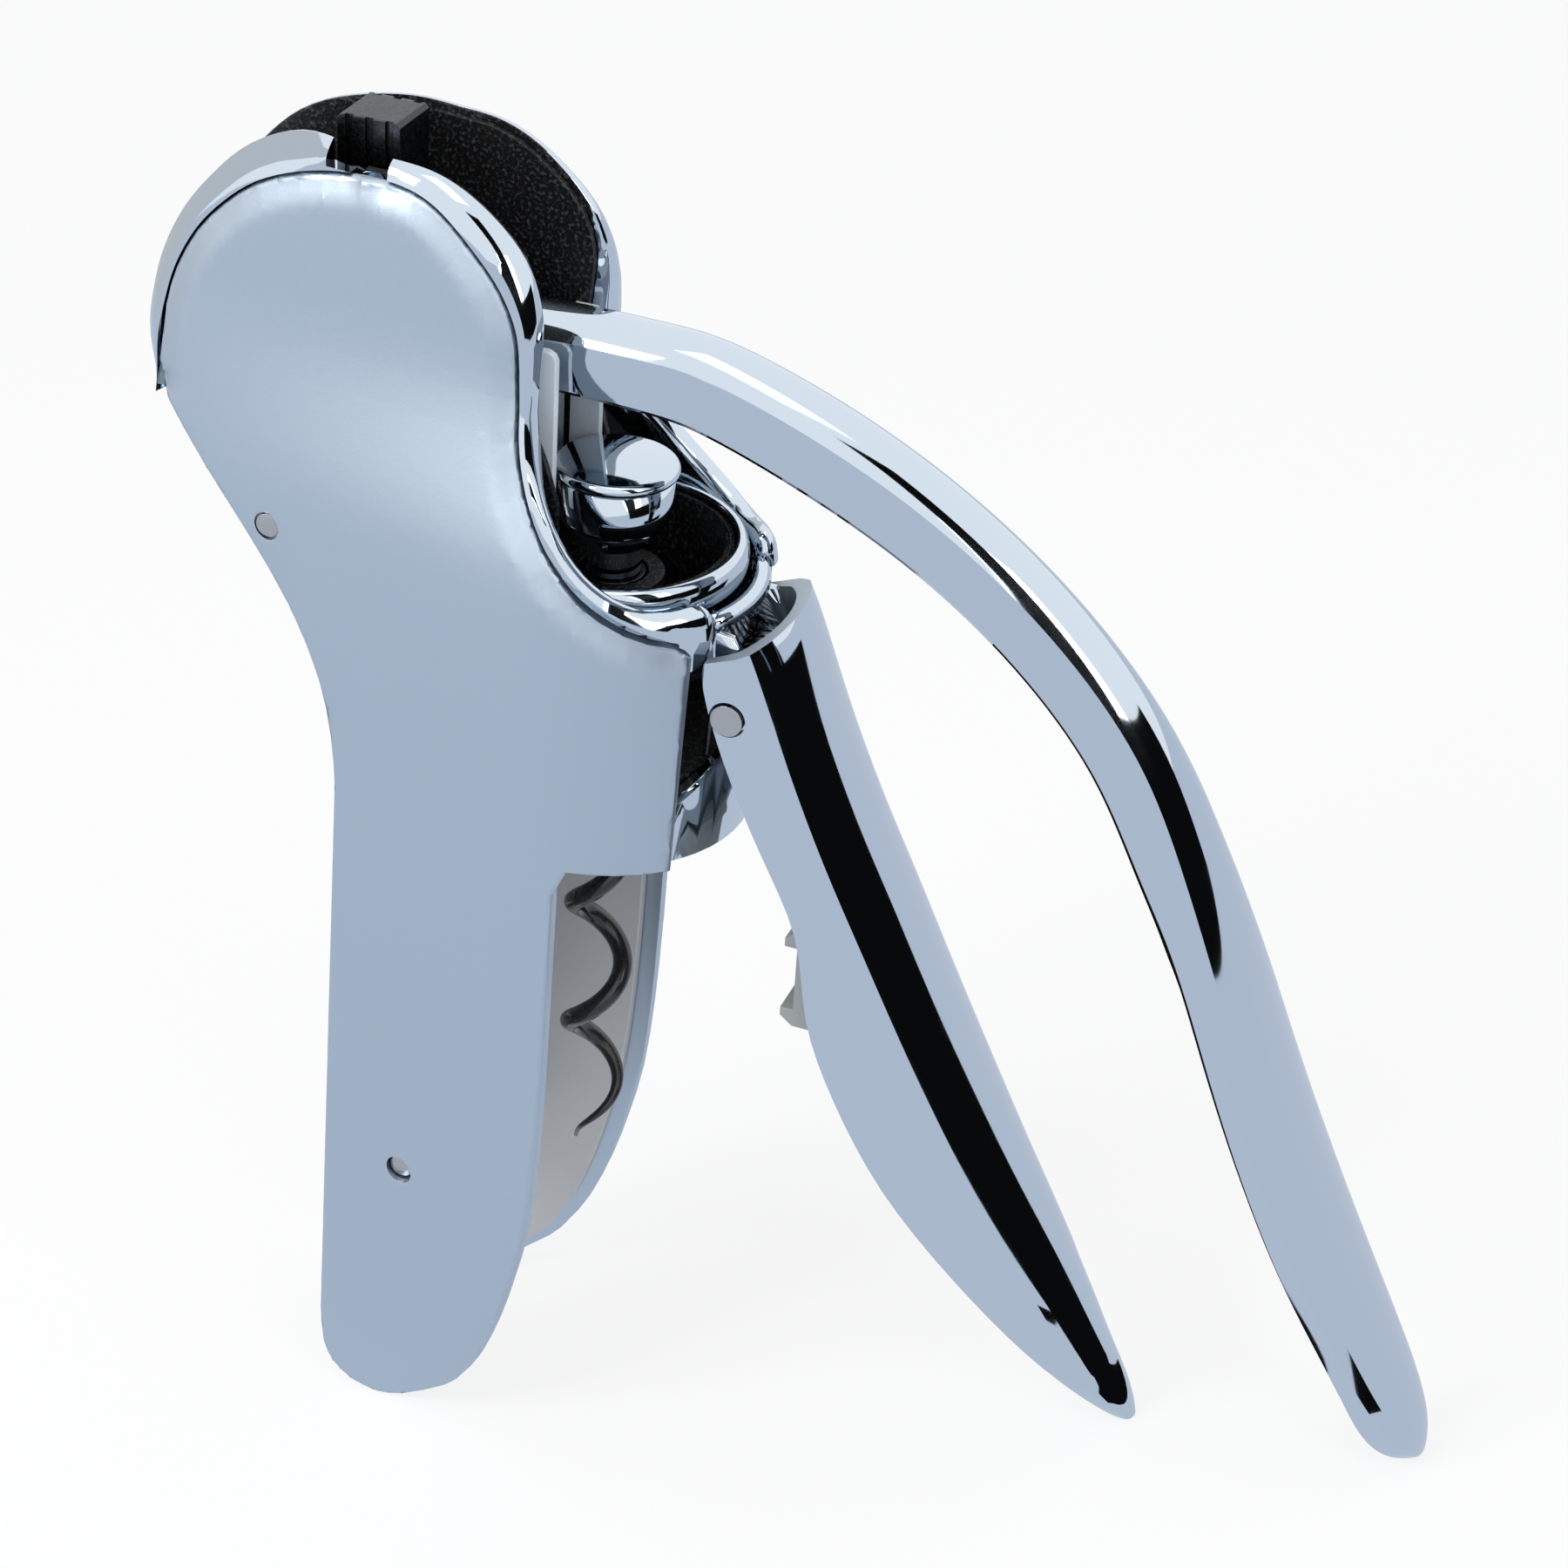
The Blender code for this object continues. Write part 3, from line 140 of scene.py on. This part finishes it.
# one noise drives a bump, a spread of the roughness and flecks, each only where its look asks for it
def addGrain(tree, shader, look):
    where = addNode(tree, "ShaderNodeTexCoord")
    noise = addNode(
        tree,
        "ShaderNodeTexNoise",
        {"Scale": 1 / (look["grainSize"] * mm), "Detail": grain["detail"], "Roughness": grain["roughness"]},
        {"Vector": where.outputs["Object"]},
    )
    if "grainHeight" in look:
        bump = addNode(
            tree,
            "ShaderNodeBump",
            {"Strength": 1.0, "Distance": look["grainHeight"] * mm},
            {"Height": noise.outputs["Fac"]},
        )
        tree.links.new(bump.outputs["Normal"], shader.inputs["Normal"])
    if "roughSpread" in look:
        low, high = look["roughness"] - look["roughSpread"], look["roughness"] + look["roughSpread"]
        spread = addNode(
            tree,
            "ShaderNodeMapRange",
            {"From Min": grain["low"], "From Max": grain["high"], "To Min": low, "To Max": high},
            {"Value": noise.outputs["Fac"]},
        )
        tree.links.new(spread.outputs["Result"], shader.inputs["Roughness"])
    # flecks mix a second colour in by the noise: on the dark casting they are painted glints
    if "fleck" in look:
        low, high = look["fleckRange"]
        share = addNode(
            tree, "ShaderNodeMapRange", {"From Min": low, "From Max": high}, {"Value": noise.outputs["Fac"]}
        )
        mixed = addNode(tree, "ShaderNodeMix", {"data_type": "RGBA"}, {"Factor": share.outputs["Result"]})
        colours = [socket for socket in mixed.inputs if socket.type == "RGBA"]
        colours[0].default_value = linear(look["colour"])
        colours[1].default_value = linear(look["fleck"])
        tree.links.new(mixed.outputs[2], shader.inputs["Base Color"])


# looks: one real finish each, apart from the guide strips' pale copy of satin chrome, which paints a
# highlight. Grain sizes and heights in mm, roughSpread to either side of the roughness
looks = {
    # bright nickel-chrome plating over polished die-cast zinc: a clean mirror with a faint buffing haze
    "polished_chrome": {
        "colour": "#d4e0ec",
        "metallic": 1,
        "roughness": 0.05,
        "grainSize": 9,
        "roughSpread": 0.02,
    },
    # satin chrome plating over bead-blasted zinc: a soft bluish sheen that blurs the room away
    "satin_chrome": {
        "colour": "#cad8e6",
        "metallic": 1,
        "roughness": 0.4,
        "grainSize": 0.35,
        "grainHeight": 0.01,
        "roughSpread": 0.03,
    },
    # grey-beige lacquered sheet that lines the legs: nearly matt, a trace of metal under the lacquer
    "lining_metal": {
        "colour": "#ccced0",
        "metallic": 0.3,
        "roughness": 0.5,
        "grainSize": 0.6,
        "grainHeight": 0.02,
        "roughSpread": 0.06,
    },
    # black painted casting with a rough skin: it swallows light, and lighter flecks mixed into its colour are
    # painted glints on its grains
    "dark_cast": {
        "colour": "#101012",
        "fleck": "#54585b",
        "fleckRange": (0.52, 0.74),
        "metallic": 0.2,
        "roughness": 0.42,
        "grainSize": 0.5,
        "grainHeight": 0.12,
    },
    # fluorine-coated steel wire of the worm: black, slippery, with a soft long highlight
    "black_coated_steel": {
        "colour": "#17181c",
        "roughness": 0.25,
        "coat": 0.5,
        "coatRoughness": 0.12,
        "grainSize": 0.4,
        "roughSpread": 0.05,
    },
    # bare turned steel of pins and springs: greyer and duller than the plating round it
    "steel": {
        "colour": "#c4c6c8",
        "metallic": 1,
        "roughness": 0.24,
        "grainSize": 0.3,
        "grainHeight": 0.004,
        "roughSpread": 0.06,
    },
    # turned brass of the bushes and the nut: warm, a little dulled by handling
    "brass": {
        "colour": "#cba25a",
        "metallic": 1,
        "roughness": 0.3,
        "grainSize": 0.3,
        "grainHeight": 0.004,
        "roughSpread": 0.08,
    },
    # moulded grey nylon of the jaw and seat: an even matt grain that doesn't glint
    "grey_plastic": {
        "colour": "#9a9fa0",
        "roughness": 0.5,
        "grainSize": 0.5,
        "grainHeight": 0.02,
        "roughSpread": 0.06,
    },
    # blackened steel of the gear: a dark oxide skin with a dull metal sheen. On the brass bush in the mouth
    # it is painted shade
    "dark_steel_and_shade": {
        "colour": "#4a4c50",
        "metallic": 1,
        "roughness": 0.3,
        "grainSize": 0.5,
        "grainHeight": 0.02,
        "roughSpread": 0.08,
    },
    # plated casting left as cast inside the grip: the plating is thin there, so it looks grey and dull
    "cast_inside": {
        "colour": "#b4c0cc",
        "metallic": 0.5,
        "roughness": 0.45,
        "grainSize": 0.6,
        "grainHeight": 0.02,
        "roughSpread": 0.06,
    },
    # pale, nearly non-metal copy of the guide strips' satin chrome beside the rack: a painted highlight, so
    # they stand out in the dark throat
    "painted_highlight_strip": {
        "colour": "#dce6f0",
        "metallic": 0.1,
        "roughness": 0.35,
        "grainSize": 0.4,
        "grainHeight": 0.004,
        "roughSpread": 0.05,
    },
}
# nodes that look unlike their slot's other nodes
lookOf = {
    "gear_sector": "dark_steel_and_shade",
    # the brass bush takes the dark steel finish: painted shade in the dark mouth
    "spindle_bush": "dark_steel_and_shade",
    # the satin chrome guide cheeks take the pale strip finish: painted highlight
    "near_guide_cheek": "painted_highlight_strip",
    "far_guide_cheek": "painted_highlight_strip",
}
made = {name: newMaterial(name, look) for name, look in looks.items()}
print("materials made")

# edges: how each node's facets are made fine. Edges past the sharp angle stay crisp, or are rounded where
# the node isn't subdivided; shape is how far triangles may differ and still join. Degrees and mm
plain = {"sharp": 35, "levels": 0, "round": 0.12, "shape": 70, "merge": False}
turnedPiece = {"sharp": 50, "levels": 0, "round": 0}
flatAngle = 0.6
edges = {
    "near_cover": {"sharp": 45, "levels": 0, "round": 0.25},
    "far_cover": {"sharp": 45, "levels": 0, "round": 0.25},
    "near_frame": {"sharp": 40, "levels": 1, "round": 0, "merge": True},
    "far_frame": {"sharp": 40, "levels": 1, "round": 0, "merge": True},
    "lever_arm": {"sharp": 24, "levels": 2, "round": 0, "merge": True},
    "grip_handle": {"sharp": 24, "levels": 1, "round": 0, "shape": 40},
    "mouth_ring": turnedPiece,
    "mouth_sleeve": turnedPiece,
    "barrel_liner": turnedPiece,
    "front_collar": turnedPiece,
    "worm": {"sharp": 60, "levels": 2, "round": 0},
    "grip_spring": {"sharp": 60, "levels": 1, "round": 0},
}


# the node's own mesh stays as it is, and a copy with its seams joined is dressed
def mergedCopy(node):
    bm = bmesh.new()
    bm.from_mesh(nodes[node].data)
    bmesh.ops.remove_doubles(bm, verts=bm.verts, dist=weldDistance)
    bm.normal_update()
    return bm


def addPiece(node, bm, modifier="WEIGHTED_NORMAL", levels=0):
    mesh = bpy.data.meshes.new(node + "_dressed")
    bm.to_mesh(mesh)
    bm.free()
    mesh.shade_smooth()
    mesh.materials.clear()
    mesh.materials.append(made[lookOf.get(node, slotOf[node])])
    piece = bpy.data.objects.new(node + "_dressed", mesh)
    bpy.context.scene.collection.objects.link(piece)
    finish = piece.modifiers.new("finish", modifier)
    if modifier == "SUBSURF":
        finish.levels = levels
        finish.render_levels = levels
    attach(piece, nodes[node]["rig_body"])
    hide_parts(node)
    return piece


def dressNode(node, bm=None):
    look = {**plain, **edges.get(node, {})}
    bm = bm or mergedCopy(node)
    if look["merge"]:
        bmesh.ops.dissolve_limit(
            bm,
            angle_limit=math.radians(flatAngle),
            use_dissolve_boundaries=False,
            verts=bm.verts,
            edges=bm.edges,
        )
    if look["levels"]:
        bmesh.ops.join_triangles(
            bm,
            faces=bm.faces,
            angle_face_threshold=math.radians(look["sharp"]),
            angle_shape_threshold=math.radians(look["shape"]),
        )
    crease = bm.edges.layers.float.new("crease_edge")
    sharp = [e for e in bm.edges if e.is_manifold and e.calc_face_angle(0) > math.radians(look["sharp"])]
    if look["levels"]:
        for e in sharp:
            e[crease] = 1
            e.smooth = False
        return addPiece(node, bm, "SUBSURF", look["levels"])
    if look["round"]:
        bmesh.ops.bevel(
            bm,
            geom=sharp,
            offset=look["round"] * mm,
            affect="EDGES",
            segments=2,
            profile=0.5,
            material=-1,
            clamp_overlap=True,
        )
    return addPiece(node, bm)


# the barrel's own frame: its foot is the worm's joint, its axis points up and its front towards the grip
barrelJoint = next(j for j in frame["record"]["behaviour"]["joints"] if j["name"] == "worm_spin")
barrelAxis = Vector(barrelJoint["axis"]).normalized()
barrelFoot = Vector(barrelJoint["pos_m"])
barrelFront = Vector((barrelAxis.z, 0, -barrelAxis.x))


# how far in front of the barrel's axis a place is, and how high above its foot, in mm
def inBarrel(place):
    away = place - barrelFoot
    return away.dot(barrelFront) / mm, away.dot(barrelAxis) / mm


# a second finish on the faces that a test picks
def secondFinish(piece, look, test):
    mesh = piece.data
    mesh.materials.append(made[look])
    for face in mesh.polygons:
        if test(face.center, face.normal):
            face.material_index = 1


def smoothStep(value):
    t = min(max(value, 0), 1)
    return t * t * (3 - 2 * t)


# groove between a side cover and the polished bead: both edges roll down into it. Sizes in mm
groove = {
    "touch": 0.7,
    "step": 0.5,
    "grid": 1.1,
    "coverReach": 3.6,
    "coverDrop": 1.0,
    "beadReach": 2.4,
    "beadDrop": 1.2,
}
# how much a face must look to its side to be an outer face: 1 looks straight out
outward = 0.35


def outerFaces(bm, side):
    return [f for f in bm.faces if f.normal.y * side > outward]


# places along the cover's edge that touch the bead, found again by their distance in the side view
def grooveLine(cover, bead, side):
    tree = BVHTree.FromBMesh(bead)
    outer = set(outerFaces(cover, side))
    found = []
    for e in cover.edges:
        if sum(f in outer for f in e.link_faces) != 1:
            continue
        first, last = e.verts[0].co, e.verts[1].co
        count = max(int((last - first).length / (groove["step"] * mm)), 1)
        for k in range(count + 1):
            place = first.lerp(last, k / count)
            if tree.find_nearest(place, groove["touch"] * mm)[0]:
                found.append(place)
    line = KDTree(len(found))
    for k, place in enumerate(found):
        line.insert((place.x, 0, place.z), k)
    line.balance()
    return line


# even cuts across the outer face, so that it can roll down softly
def gridCuts(cover, side):
    low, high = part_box("near_cover")
    for axis in (0, 2):
        normal = [0, 0, 0]
        normal[axis] = 1
        for k in range(1, int((high[axis] - low[axis]) / (groove["grid"] * mm)) + 1):
            place = [0, 0, 0]
            place[axis] = low[axis] + k * groove["grid"] * mm
            faces = outerFaces(cover, side)
            parts = {e for f in faces for e in f.edges} | {v for f in faces for v in f.verts}
            bmesh.ops.bisect_plane(
                cover, geom=faces + list(parts), plane_co=place, plane_no=normal, dist=cutDistance
            )


# lowers the vertices near the groove, most at the groove itself
def rollDown(verts, line, side, reach, drop):
    for v in verts:
        away = line.find((v.co.x, 0, v.co.z))[2]
        v.co.y -= side * drop * mm * (1 - smoothStep(away / (reach * mm)))


# evening of a pressed side: step and reach of the samples in mm, and how far outward a face looks to be
# moved whole
evening = {
    "step": 1.3,
    "reach": 6.0,
    "full": 0.75,
    "falloff": 5.0,
    "fewest": 8,
    "rayStart": 50,
    "flattest": 1e-6,
}


# even samples of a pressed side, so that its tessellation leaves no facet
def sampleSide(bm, side):
    tree = BVHTree.FromBMesh(bm)
    low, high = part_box("near_cover")
    step = evening["step"] * mm
    found = []
    for i in range(int((high[0] - low[0]) / step) + 2):
        for k in range(int((high[2] - low[2]) / step) + 2):
            start = Vector((low[0] + i * step, side * evening["rayStart"] * mm, low[2] + k * step))
            hit, normal, face, away = tree.ray_cast(start, Vector((0, -side, 0)))
            if hit and normal.y * side > outward:
                found.append(hit)
    samples = KDTree(len(found))
    for i, hit in enumerate(found):
        samples.insert((hit.x, hit.z, 0), i)
    samples.balance()
    return found, samples


# height at a vertex of the plane that fits the samples round it best, or None where too few are near
def planeHeight(vert, found, samples):
    near = samples.find_range((vert.co.x, vert.co.z, 0), evening["reach"] * mm)
    if len(near) < evening["fewest"]:
        return None
    total = Matrix(((0, 0, 0), (0, 0, 0), (0, 0, 0)))
    right = Vector((0, 0, 0))
    for place, index, away in near:
        sample = found[index]
        row = Vector((1, (sample.x - vert.co.x) / mm, (sample.z - vert.co.z) / mm))
        weight = math.exp(-evening["falloff"] * (away / mm / evening["reach"]) ** 2)
        for r in range(3):
            for c in range(3):
                total[r][c] += weight * row[r] * row[c]
            right[r] += weight * row[r] * sample.y
    if abs(total.determinant()) <= evening["flattest"]:
        return None
    return (total.inverted() @ right)[0]


# moves each outer vertex to the plane fitted there, less where the side turns away
def evenOut(verts, pressed, side):
    found, samples = pressed
    for vert in verts:
        steepest = min(f.normal.y * side for f in vert.link_faces)
        share = smoothStep((steepest - outward) / (evening["full"] - outward))
        height = planeHeight(vert, found, samples) if share > 0 else None
        if height is not None:
            vert.co.y += share * (height - vert.co.y)


# painted shade: the rim's face towards the slot takes the black cast finish, as dark as the shade inside the
# slot. low and front in mm in the barrel's own frame
shadedInnerRim = {"inward": 0.5, "low": 40.0, "front": -14.0}


def isShadedInnerRim(place, normal, side):
    front, height = inBarrel(place)
    return normal.y * side < -shadedInnerRim["inward"] and height > shadedInnerRim["low"] and front < shadedInnerRim["front"]


def dressSide(name, side):
    cover, bead = mergedCopy(name + "_cover"), mergedCopy(name + "_frame")
    line = grooveLine(cover, bead, side)
    pressed = sampleSide(cover, side)
    gridCuts(cover, side)
    outer = {v for f in outerFaces(cover, side) for v in f.verts}
    evenOut(outer, pressed, side)
    rollDown(outer, line, side, groove["coverReach"], groove["coverDrop"])
    top = {v for f in outerFaces(bead, side) for v in f.verts}
    rollDown(top, line, side, groove["beadReach"], groove["beadDrop"])
    dressNode(name + "_cover", cover)
    rim = dressNode(name + "_frame", bead)
    # the rim's inward faces get the black cast finish as painted shade
    secondFinish(rim, "dark_cast", lambda place, normal: isShadedInnerRim(place, normal, side))


# knob: turned cap and bowl. Radii and heights in mm, heights down from the cap's top
knob = {
    "capRadius": 7.8,
    "capEdge": 1.9,
    "edgeRoundShare": 0.45,
    "gap": 0.1,
    "dome": 0.5,
    "bowlRadius": 7.35,
    "bowlDepth": 7.4,
    "bowlRound": 2.6,
    "bowlTaper": 0.5,
    "neck": 3.5,
    "sides": 96,
    "profileSteps": 10,
}


# a profile of radii and heights turned about the barrel's axis
def turnedMesh(profile):
    bm = bmesh.new()
    ring = [bm.verts.new((radius, 0, height)) for radius, height in profile]
    for first, last in zip(ring, ring[1:]):
        bm.edges.new((first, last))
    bmesh.ops.spin(
        bm,
        geom=bm.verts[:] + bm.edges[:],
        cent=(0, 0, 0),
        axis=(0, 0, 1),
        angle=2 * math.pi,
        steps=knob["sides"],
        use_merge=True,
    )
    bmesh.ops.remove_doubles(bm, verts=bm.verts, dist=weldDistance / 2)
    bmesh.ops.recalc_face_normals(bm, faces=bm.faces)
    place = Matrix.Translation(barrelFoot) @ barrelAxis.to_track_quat("Z", "Y").to_matrix().to_4x4()
    bmesh.ops.transform(bm, matrix=place, verts=bm.verts)
    return bm


# lowest and highest place of a node along the barrel's axis
def alongBarrel(node):
    along = [(v.co - barrelFoot).dot(barrelAxis) for v in nodes[node].data.vertices]
    return min(along), max(along)


# flat underside, half-round edge and low dome
def capProfile(edgeLow, top):
    steps = knob["profileSteps"]
    edgeRound = knob["edgeRoundShare"] * knob["capEdge"] * mm
    inner = knob["capRadius"] * mm - edgeRound
    profile = [(0, edgeLow), (inner, edgeLow)]
    for k in range(steps + 1):
        t = -math.pi / 2 + math.pi * k / steps
        profile.append((inner + edgeRound * math.cos(t), edgeLow + edgeRound * (1 + math.sin(t))))
    crown = profile[-1][1]
    for k in range(1, steps + 1):
        share = 1 - k / steps
        profile.append((inner * share, crown + (top - crown) * (1 - share**2)))
    return profile


# stem, round shoulder and a bowl that widens to its rim
def bowlProfile(low, rim):
    steps = knob["profileSteps"]
    neck, turn, widest = knob["neck"] * mm, knob["bowlRound"] * mm, knob["bowlRadius"] * mm
    bottom = rim - knob["bowlDepth"] * mm
    profile = [(0, low), (neck, low), (neck, bottom)]
    for k in range(steps + 1):
        t = math.pi / 2 * k / steps
        reach = widest - knob["bowlTaper"] * mm - turn * (1 - math.sin(t))
        profile.append((reach, bottom + turn * (1 - math.cos(t))))
    return profile + [(widest, rim), (0, rim)]


def dressKnob():
    top = alongBarrel("knob_cap")[1]
    edgeLow = top - (knob["dome"] + knob["capEdge"]) * mm
    addPiece("knob_cap", turnedMesh(capProfile(edgeLow, top)))
    low = alongBarrel("knob_stem")[0]
    addPiece("knob_stem", turnedMesh(bowlProfile(low, edgeLow - knob["gap"] * mm)))


# the grip's inside looks back at the barrel, or across the channel at the other flank
insideGrip = {"back": 0.2, "across": 0.5}


def isInsideGrip(place, normal):
    looksBack = normal.dot(barrelFront) < -insideGrip["back"]
    return looksBack or abs(normal.y) > insideGrip["across"] and normal.y * place.y < 0


dressSide("near", -1)
dressSide("far", 1)
dressKnob()
shaped = ["near_cover", "far_cover", "near_frame", "far_frame", "knob_cap", "knob_stem"]
for node in list(nodes):
    if node not in shaped:
        piece = dressNode(node)
        if node == "grip_handle":
            secondFinish(piece, "cast_inside", isInsideGrip)
print("pieces dressed")

# stage: pale floor and world. soft lights the object; what polished metal sees of the floor is a painted
# reflection, a grey-blue glow, and after a second reflection floor and world are dimmed: painted shade in the
# metal's hollows
white = (1, 1, 1, 1)
stage = {
    "floor": "#f4f5f8",
    "floorHalf": 12.0,
    "floorRoughness": 0.9,
    "floorOwnShare": 0.2,
    "floorReflectionGlow": (0.6, 0.64, 0.71, 1),
    "soft": 0.7,
    "secondBounceShade": 0.42,
    "deepBounces": 1.5,
}
# lamps: places and sizes in metres, power in watts
lamps = {
    "keyLight": {"place": (-0.5, -0.6, 0.9), "size": (0.6, 0.6), "power": 5},
    "fillLight": {"place": (0.8, -0.5, 0.5), "size": (0.5, 0.5), "power": 2},
}
# painted reflections: cards that only polished metal sees, dark bands, a grey wall and a glowing patch.
# Azimuth from +X towards +Y and rise in degrees, the rest in metres, and a shade of 0 is black
reflectionCards = {
    "rightCard": {"azimuth": -10, "rise": 2, "distance": 0.5, "size": (0.66, 0.22), "shade": 0.004},
    "tallCard": {"azimuth": -37, "rise": 30, "distance": 0.6, "size": (0.16, 0.5), "shade": 0.004},
    "leftCard": {"azimuth": 175, "rise": 25, "distance": 0.6, "size": (0.8, 0.6), "shade": 0.62},
    "topCard": {"azimuth": -33, "rise": 74, "distance": 0.6, "size": (0.2, 0.3), "shade": 1.5},
}
# painted reflections: dark cards beside the grip and the lever's tip that only polished metal sees, for the
# dark stripes in them. Places in metres, lean from lying flat and turn in degrees
nearReflectionShade = 0.004
nearReflectionCards = {
    "gripCard": {"place": (0.043, 0.005, 0.055), "size": (0.118, 0.032), "lean": 73, "turn": 0},
    "gripTipCard": {"place": (0.0525, 0.004, 0.0005), "size": (0.021, 0.026), "lean": 0, "turn": 0},
    "tipCard": {"place": (0.094, -0.038, 0.0005), "size": (0.05, 0.012), "lean": 0, "turn": -64},
}
aim = Vector((0, 0, 0.09))


def square(name, half):
    bm = bmesh.new()
    bmesh.ops.create_grid(bm, x_segments=1, y_segments=1, size=half)
    mesh = bpy.data.meshes.new(name)
    bm.to_mesh(mesh)
    bm.free()
    obj = bpy.data.objects.new(name, mesh)
    bpy.context.scene.collection.objects.link(obj)
    return obj


# shares for the rays from the lens, those that metal or glass sent on, and those that metal reflected twice
def lensAndMetal(tree):
    path = addNode(tree, "ShaderNodeLightPath").outputs
    glossy, depth = path["Is Glossy Ray"], path["Glossy Depth"]
    glass = path["Is Transmission Ray"]
    metal = addNode(tree, "ShaderNodeMath", {"operation": "MAXIMUM"}, {0: glossy, 1: glass})
    past = addNode(tree, "ShaderNodeMath", {"operation": "GREATER_THAN", 1: stage["deepBounces"]}, {0: depth})
    deep = addNode(tree, "ShaderNodeMath", {"operation": "MULTIPLY"}, {0: past.outputs[0], 1: glossy})
    return path["Is Camera Ray"], metal.outputs[0], deep.outputs[0]


# each later shader takes over from the ones before it where its share says so
def layered(tree, first, layers):
    for share, shader in layers:
        first = addNode(tree, "ShaderNodeMixShader", links={0: share, 1: first, 2: shader}).outputs[0]
    return first


# the lens sees the floor mostly white but keeps the object's shadow on it
def makeFloor():
    floor = square("floor", stage["floorHalf"])
    material = bpy.data.materials.new("paleFloor")
    material.use_nodes = True
    tree = material.node_tree
    shader = tree.nodes["Principled BSDF"]
    shader.inputs["Base Color"].default_value = linear(stage["floor"])
    shader.inputs["Roughness"].default_value = stage["floorRoughness"]
    lens, metal, deep = lensAndMetal(tree)
    whiteShare = 1 - stage["floorOwnShare"]
    partly = addNode(tree, "ShaderNodeMath", {"operation": "MULTIPLY", 1: whiteShare}, {0: lens}).outputs[0]
    glows = []
    # the floor's glow for the lens, its painted reflection in metal, and that reflection dimmed after a
    # second bounce as painted shade
    for colour, strength in (
        (white, 1.0),
        (stage["floorReflectionGlow"], 1.0),
        (stage["floorReflectionGlow"], stage["secondBounceShade"]),
    ):
        glow = addNode(tree, "ShaderNodeEmission", {"Color": colour, "Strength": strength})
        glows.append(glow.outputs[0])
    mix = layered(tree, shader.outputs[0], zip((partly, metal, deep), glows))
    tree.links.new(mix, tree.nodes["Material Output"].inputs["Surface"])
    floor.data.materials.append(material)


def makeWorld():
    world = bpy.data.worlds.new("studio")
    bpy.context.scene.world = world
    world.use_nodes = True
    tree = world.node_tree
    tree.nodes.clear()
    lens, metal, deep = lensAndMetal(tree)
    either = addNode(tree, "ShaderNodeMath", {"operation": "MAXIMUM"}, {0: lens, 1: metal}).outputs[0]
    skies = []
    # the sky that lights, the sky for the lens and metal, and the sky dimmed after a second reflection as
    # painted shade
    for strength in (stage["soft"], 1.0, stage["secondBounceShade"]):
        sky = addNode(tree, "ShaderNodeBackground", {"Color": white, "Strength": strength})
        skies.append(sky.outputs[0])
    mix = layered(tree, skies[0], zip((either, deep), skies[1:]))
    addNode(tree, "ShaderNodeOutputWorld", links={"Surface": mix})


def faceAim(obj):
    obj.rotation_euler = (aim - obj.location).to_track_quat("-Z", "Y").to_euler()


def addLamp(name, lamp):
    data = bpy.data.lights.new(name, "AREA")
    data.shape = "RECTANGLE"
    data.size, data.size_y = lamp["size"]
    data.energy = lamp["power"]
    obj = bpy.data.objects.new(name, data)
    obj.location = lamp["place"]
    bpy.context.scene.collection.objects.link(obj)
    faceAim(obj)


def addCard(name, card):
    obj = square(name, 1 / 2)
    obj.scale = (*card["size"], 1)
    if "rise" in card:
        turn, rise = math.radians(card["azimuth"]), math.radians(card["rise"])
        direction = Vector((math.cos(rise) * math.cos(turn), math.cos(rise) * math.sin(turn), math.sin(rise)))
        obj.location = aim + card["distance"] * direction
        faceAim(obj)
    else:
        obj.location = card["place"]
        obj.rotation_euler = (0, math.radians(card["lean"]), math.radians(card["turn"]))
    # painted reflection: the card is seen only by glossy rays and gives no light or shadow
    obj.visible_camera = False
    obj.visible_diffuse = False
    obj.visible_shadow = False
    obj.visible_transmission = False
    material = bpy.data.materials.new(name)
    material.use_nodes = True
    tree = material.node_tree
    tree.nodes.remove(tree.nodes["Principled BSDF"])
    glow = addNode(tree, "ShaderNodeEmission", {"Color": white, "Strength": card.get("shade", nearReflectionShade)})
    tree.links.new(glow.outputs[0], tree.nodes["Material Output"].inputs["Surface"])
    obj.data.materials.append(material)


makeFloor()
makeWorld()
for name, lamp in lamps.items():
    addLamp(name, lamp)
for name, card in {**reflectionCards, **nearReflectionCards}.items():
    addCard(name, card)
bpy.context.scene.view_settings.view_transform = "Standard"
print("stage set")
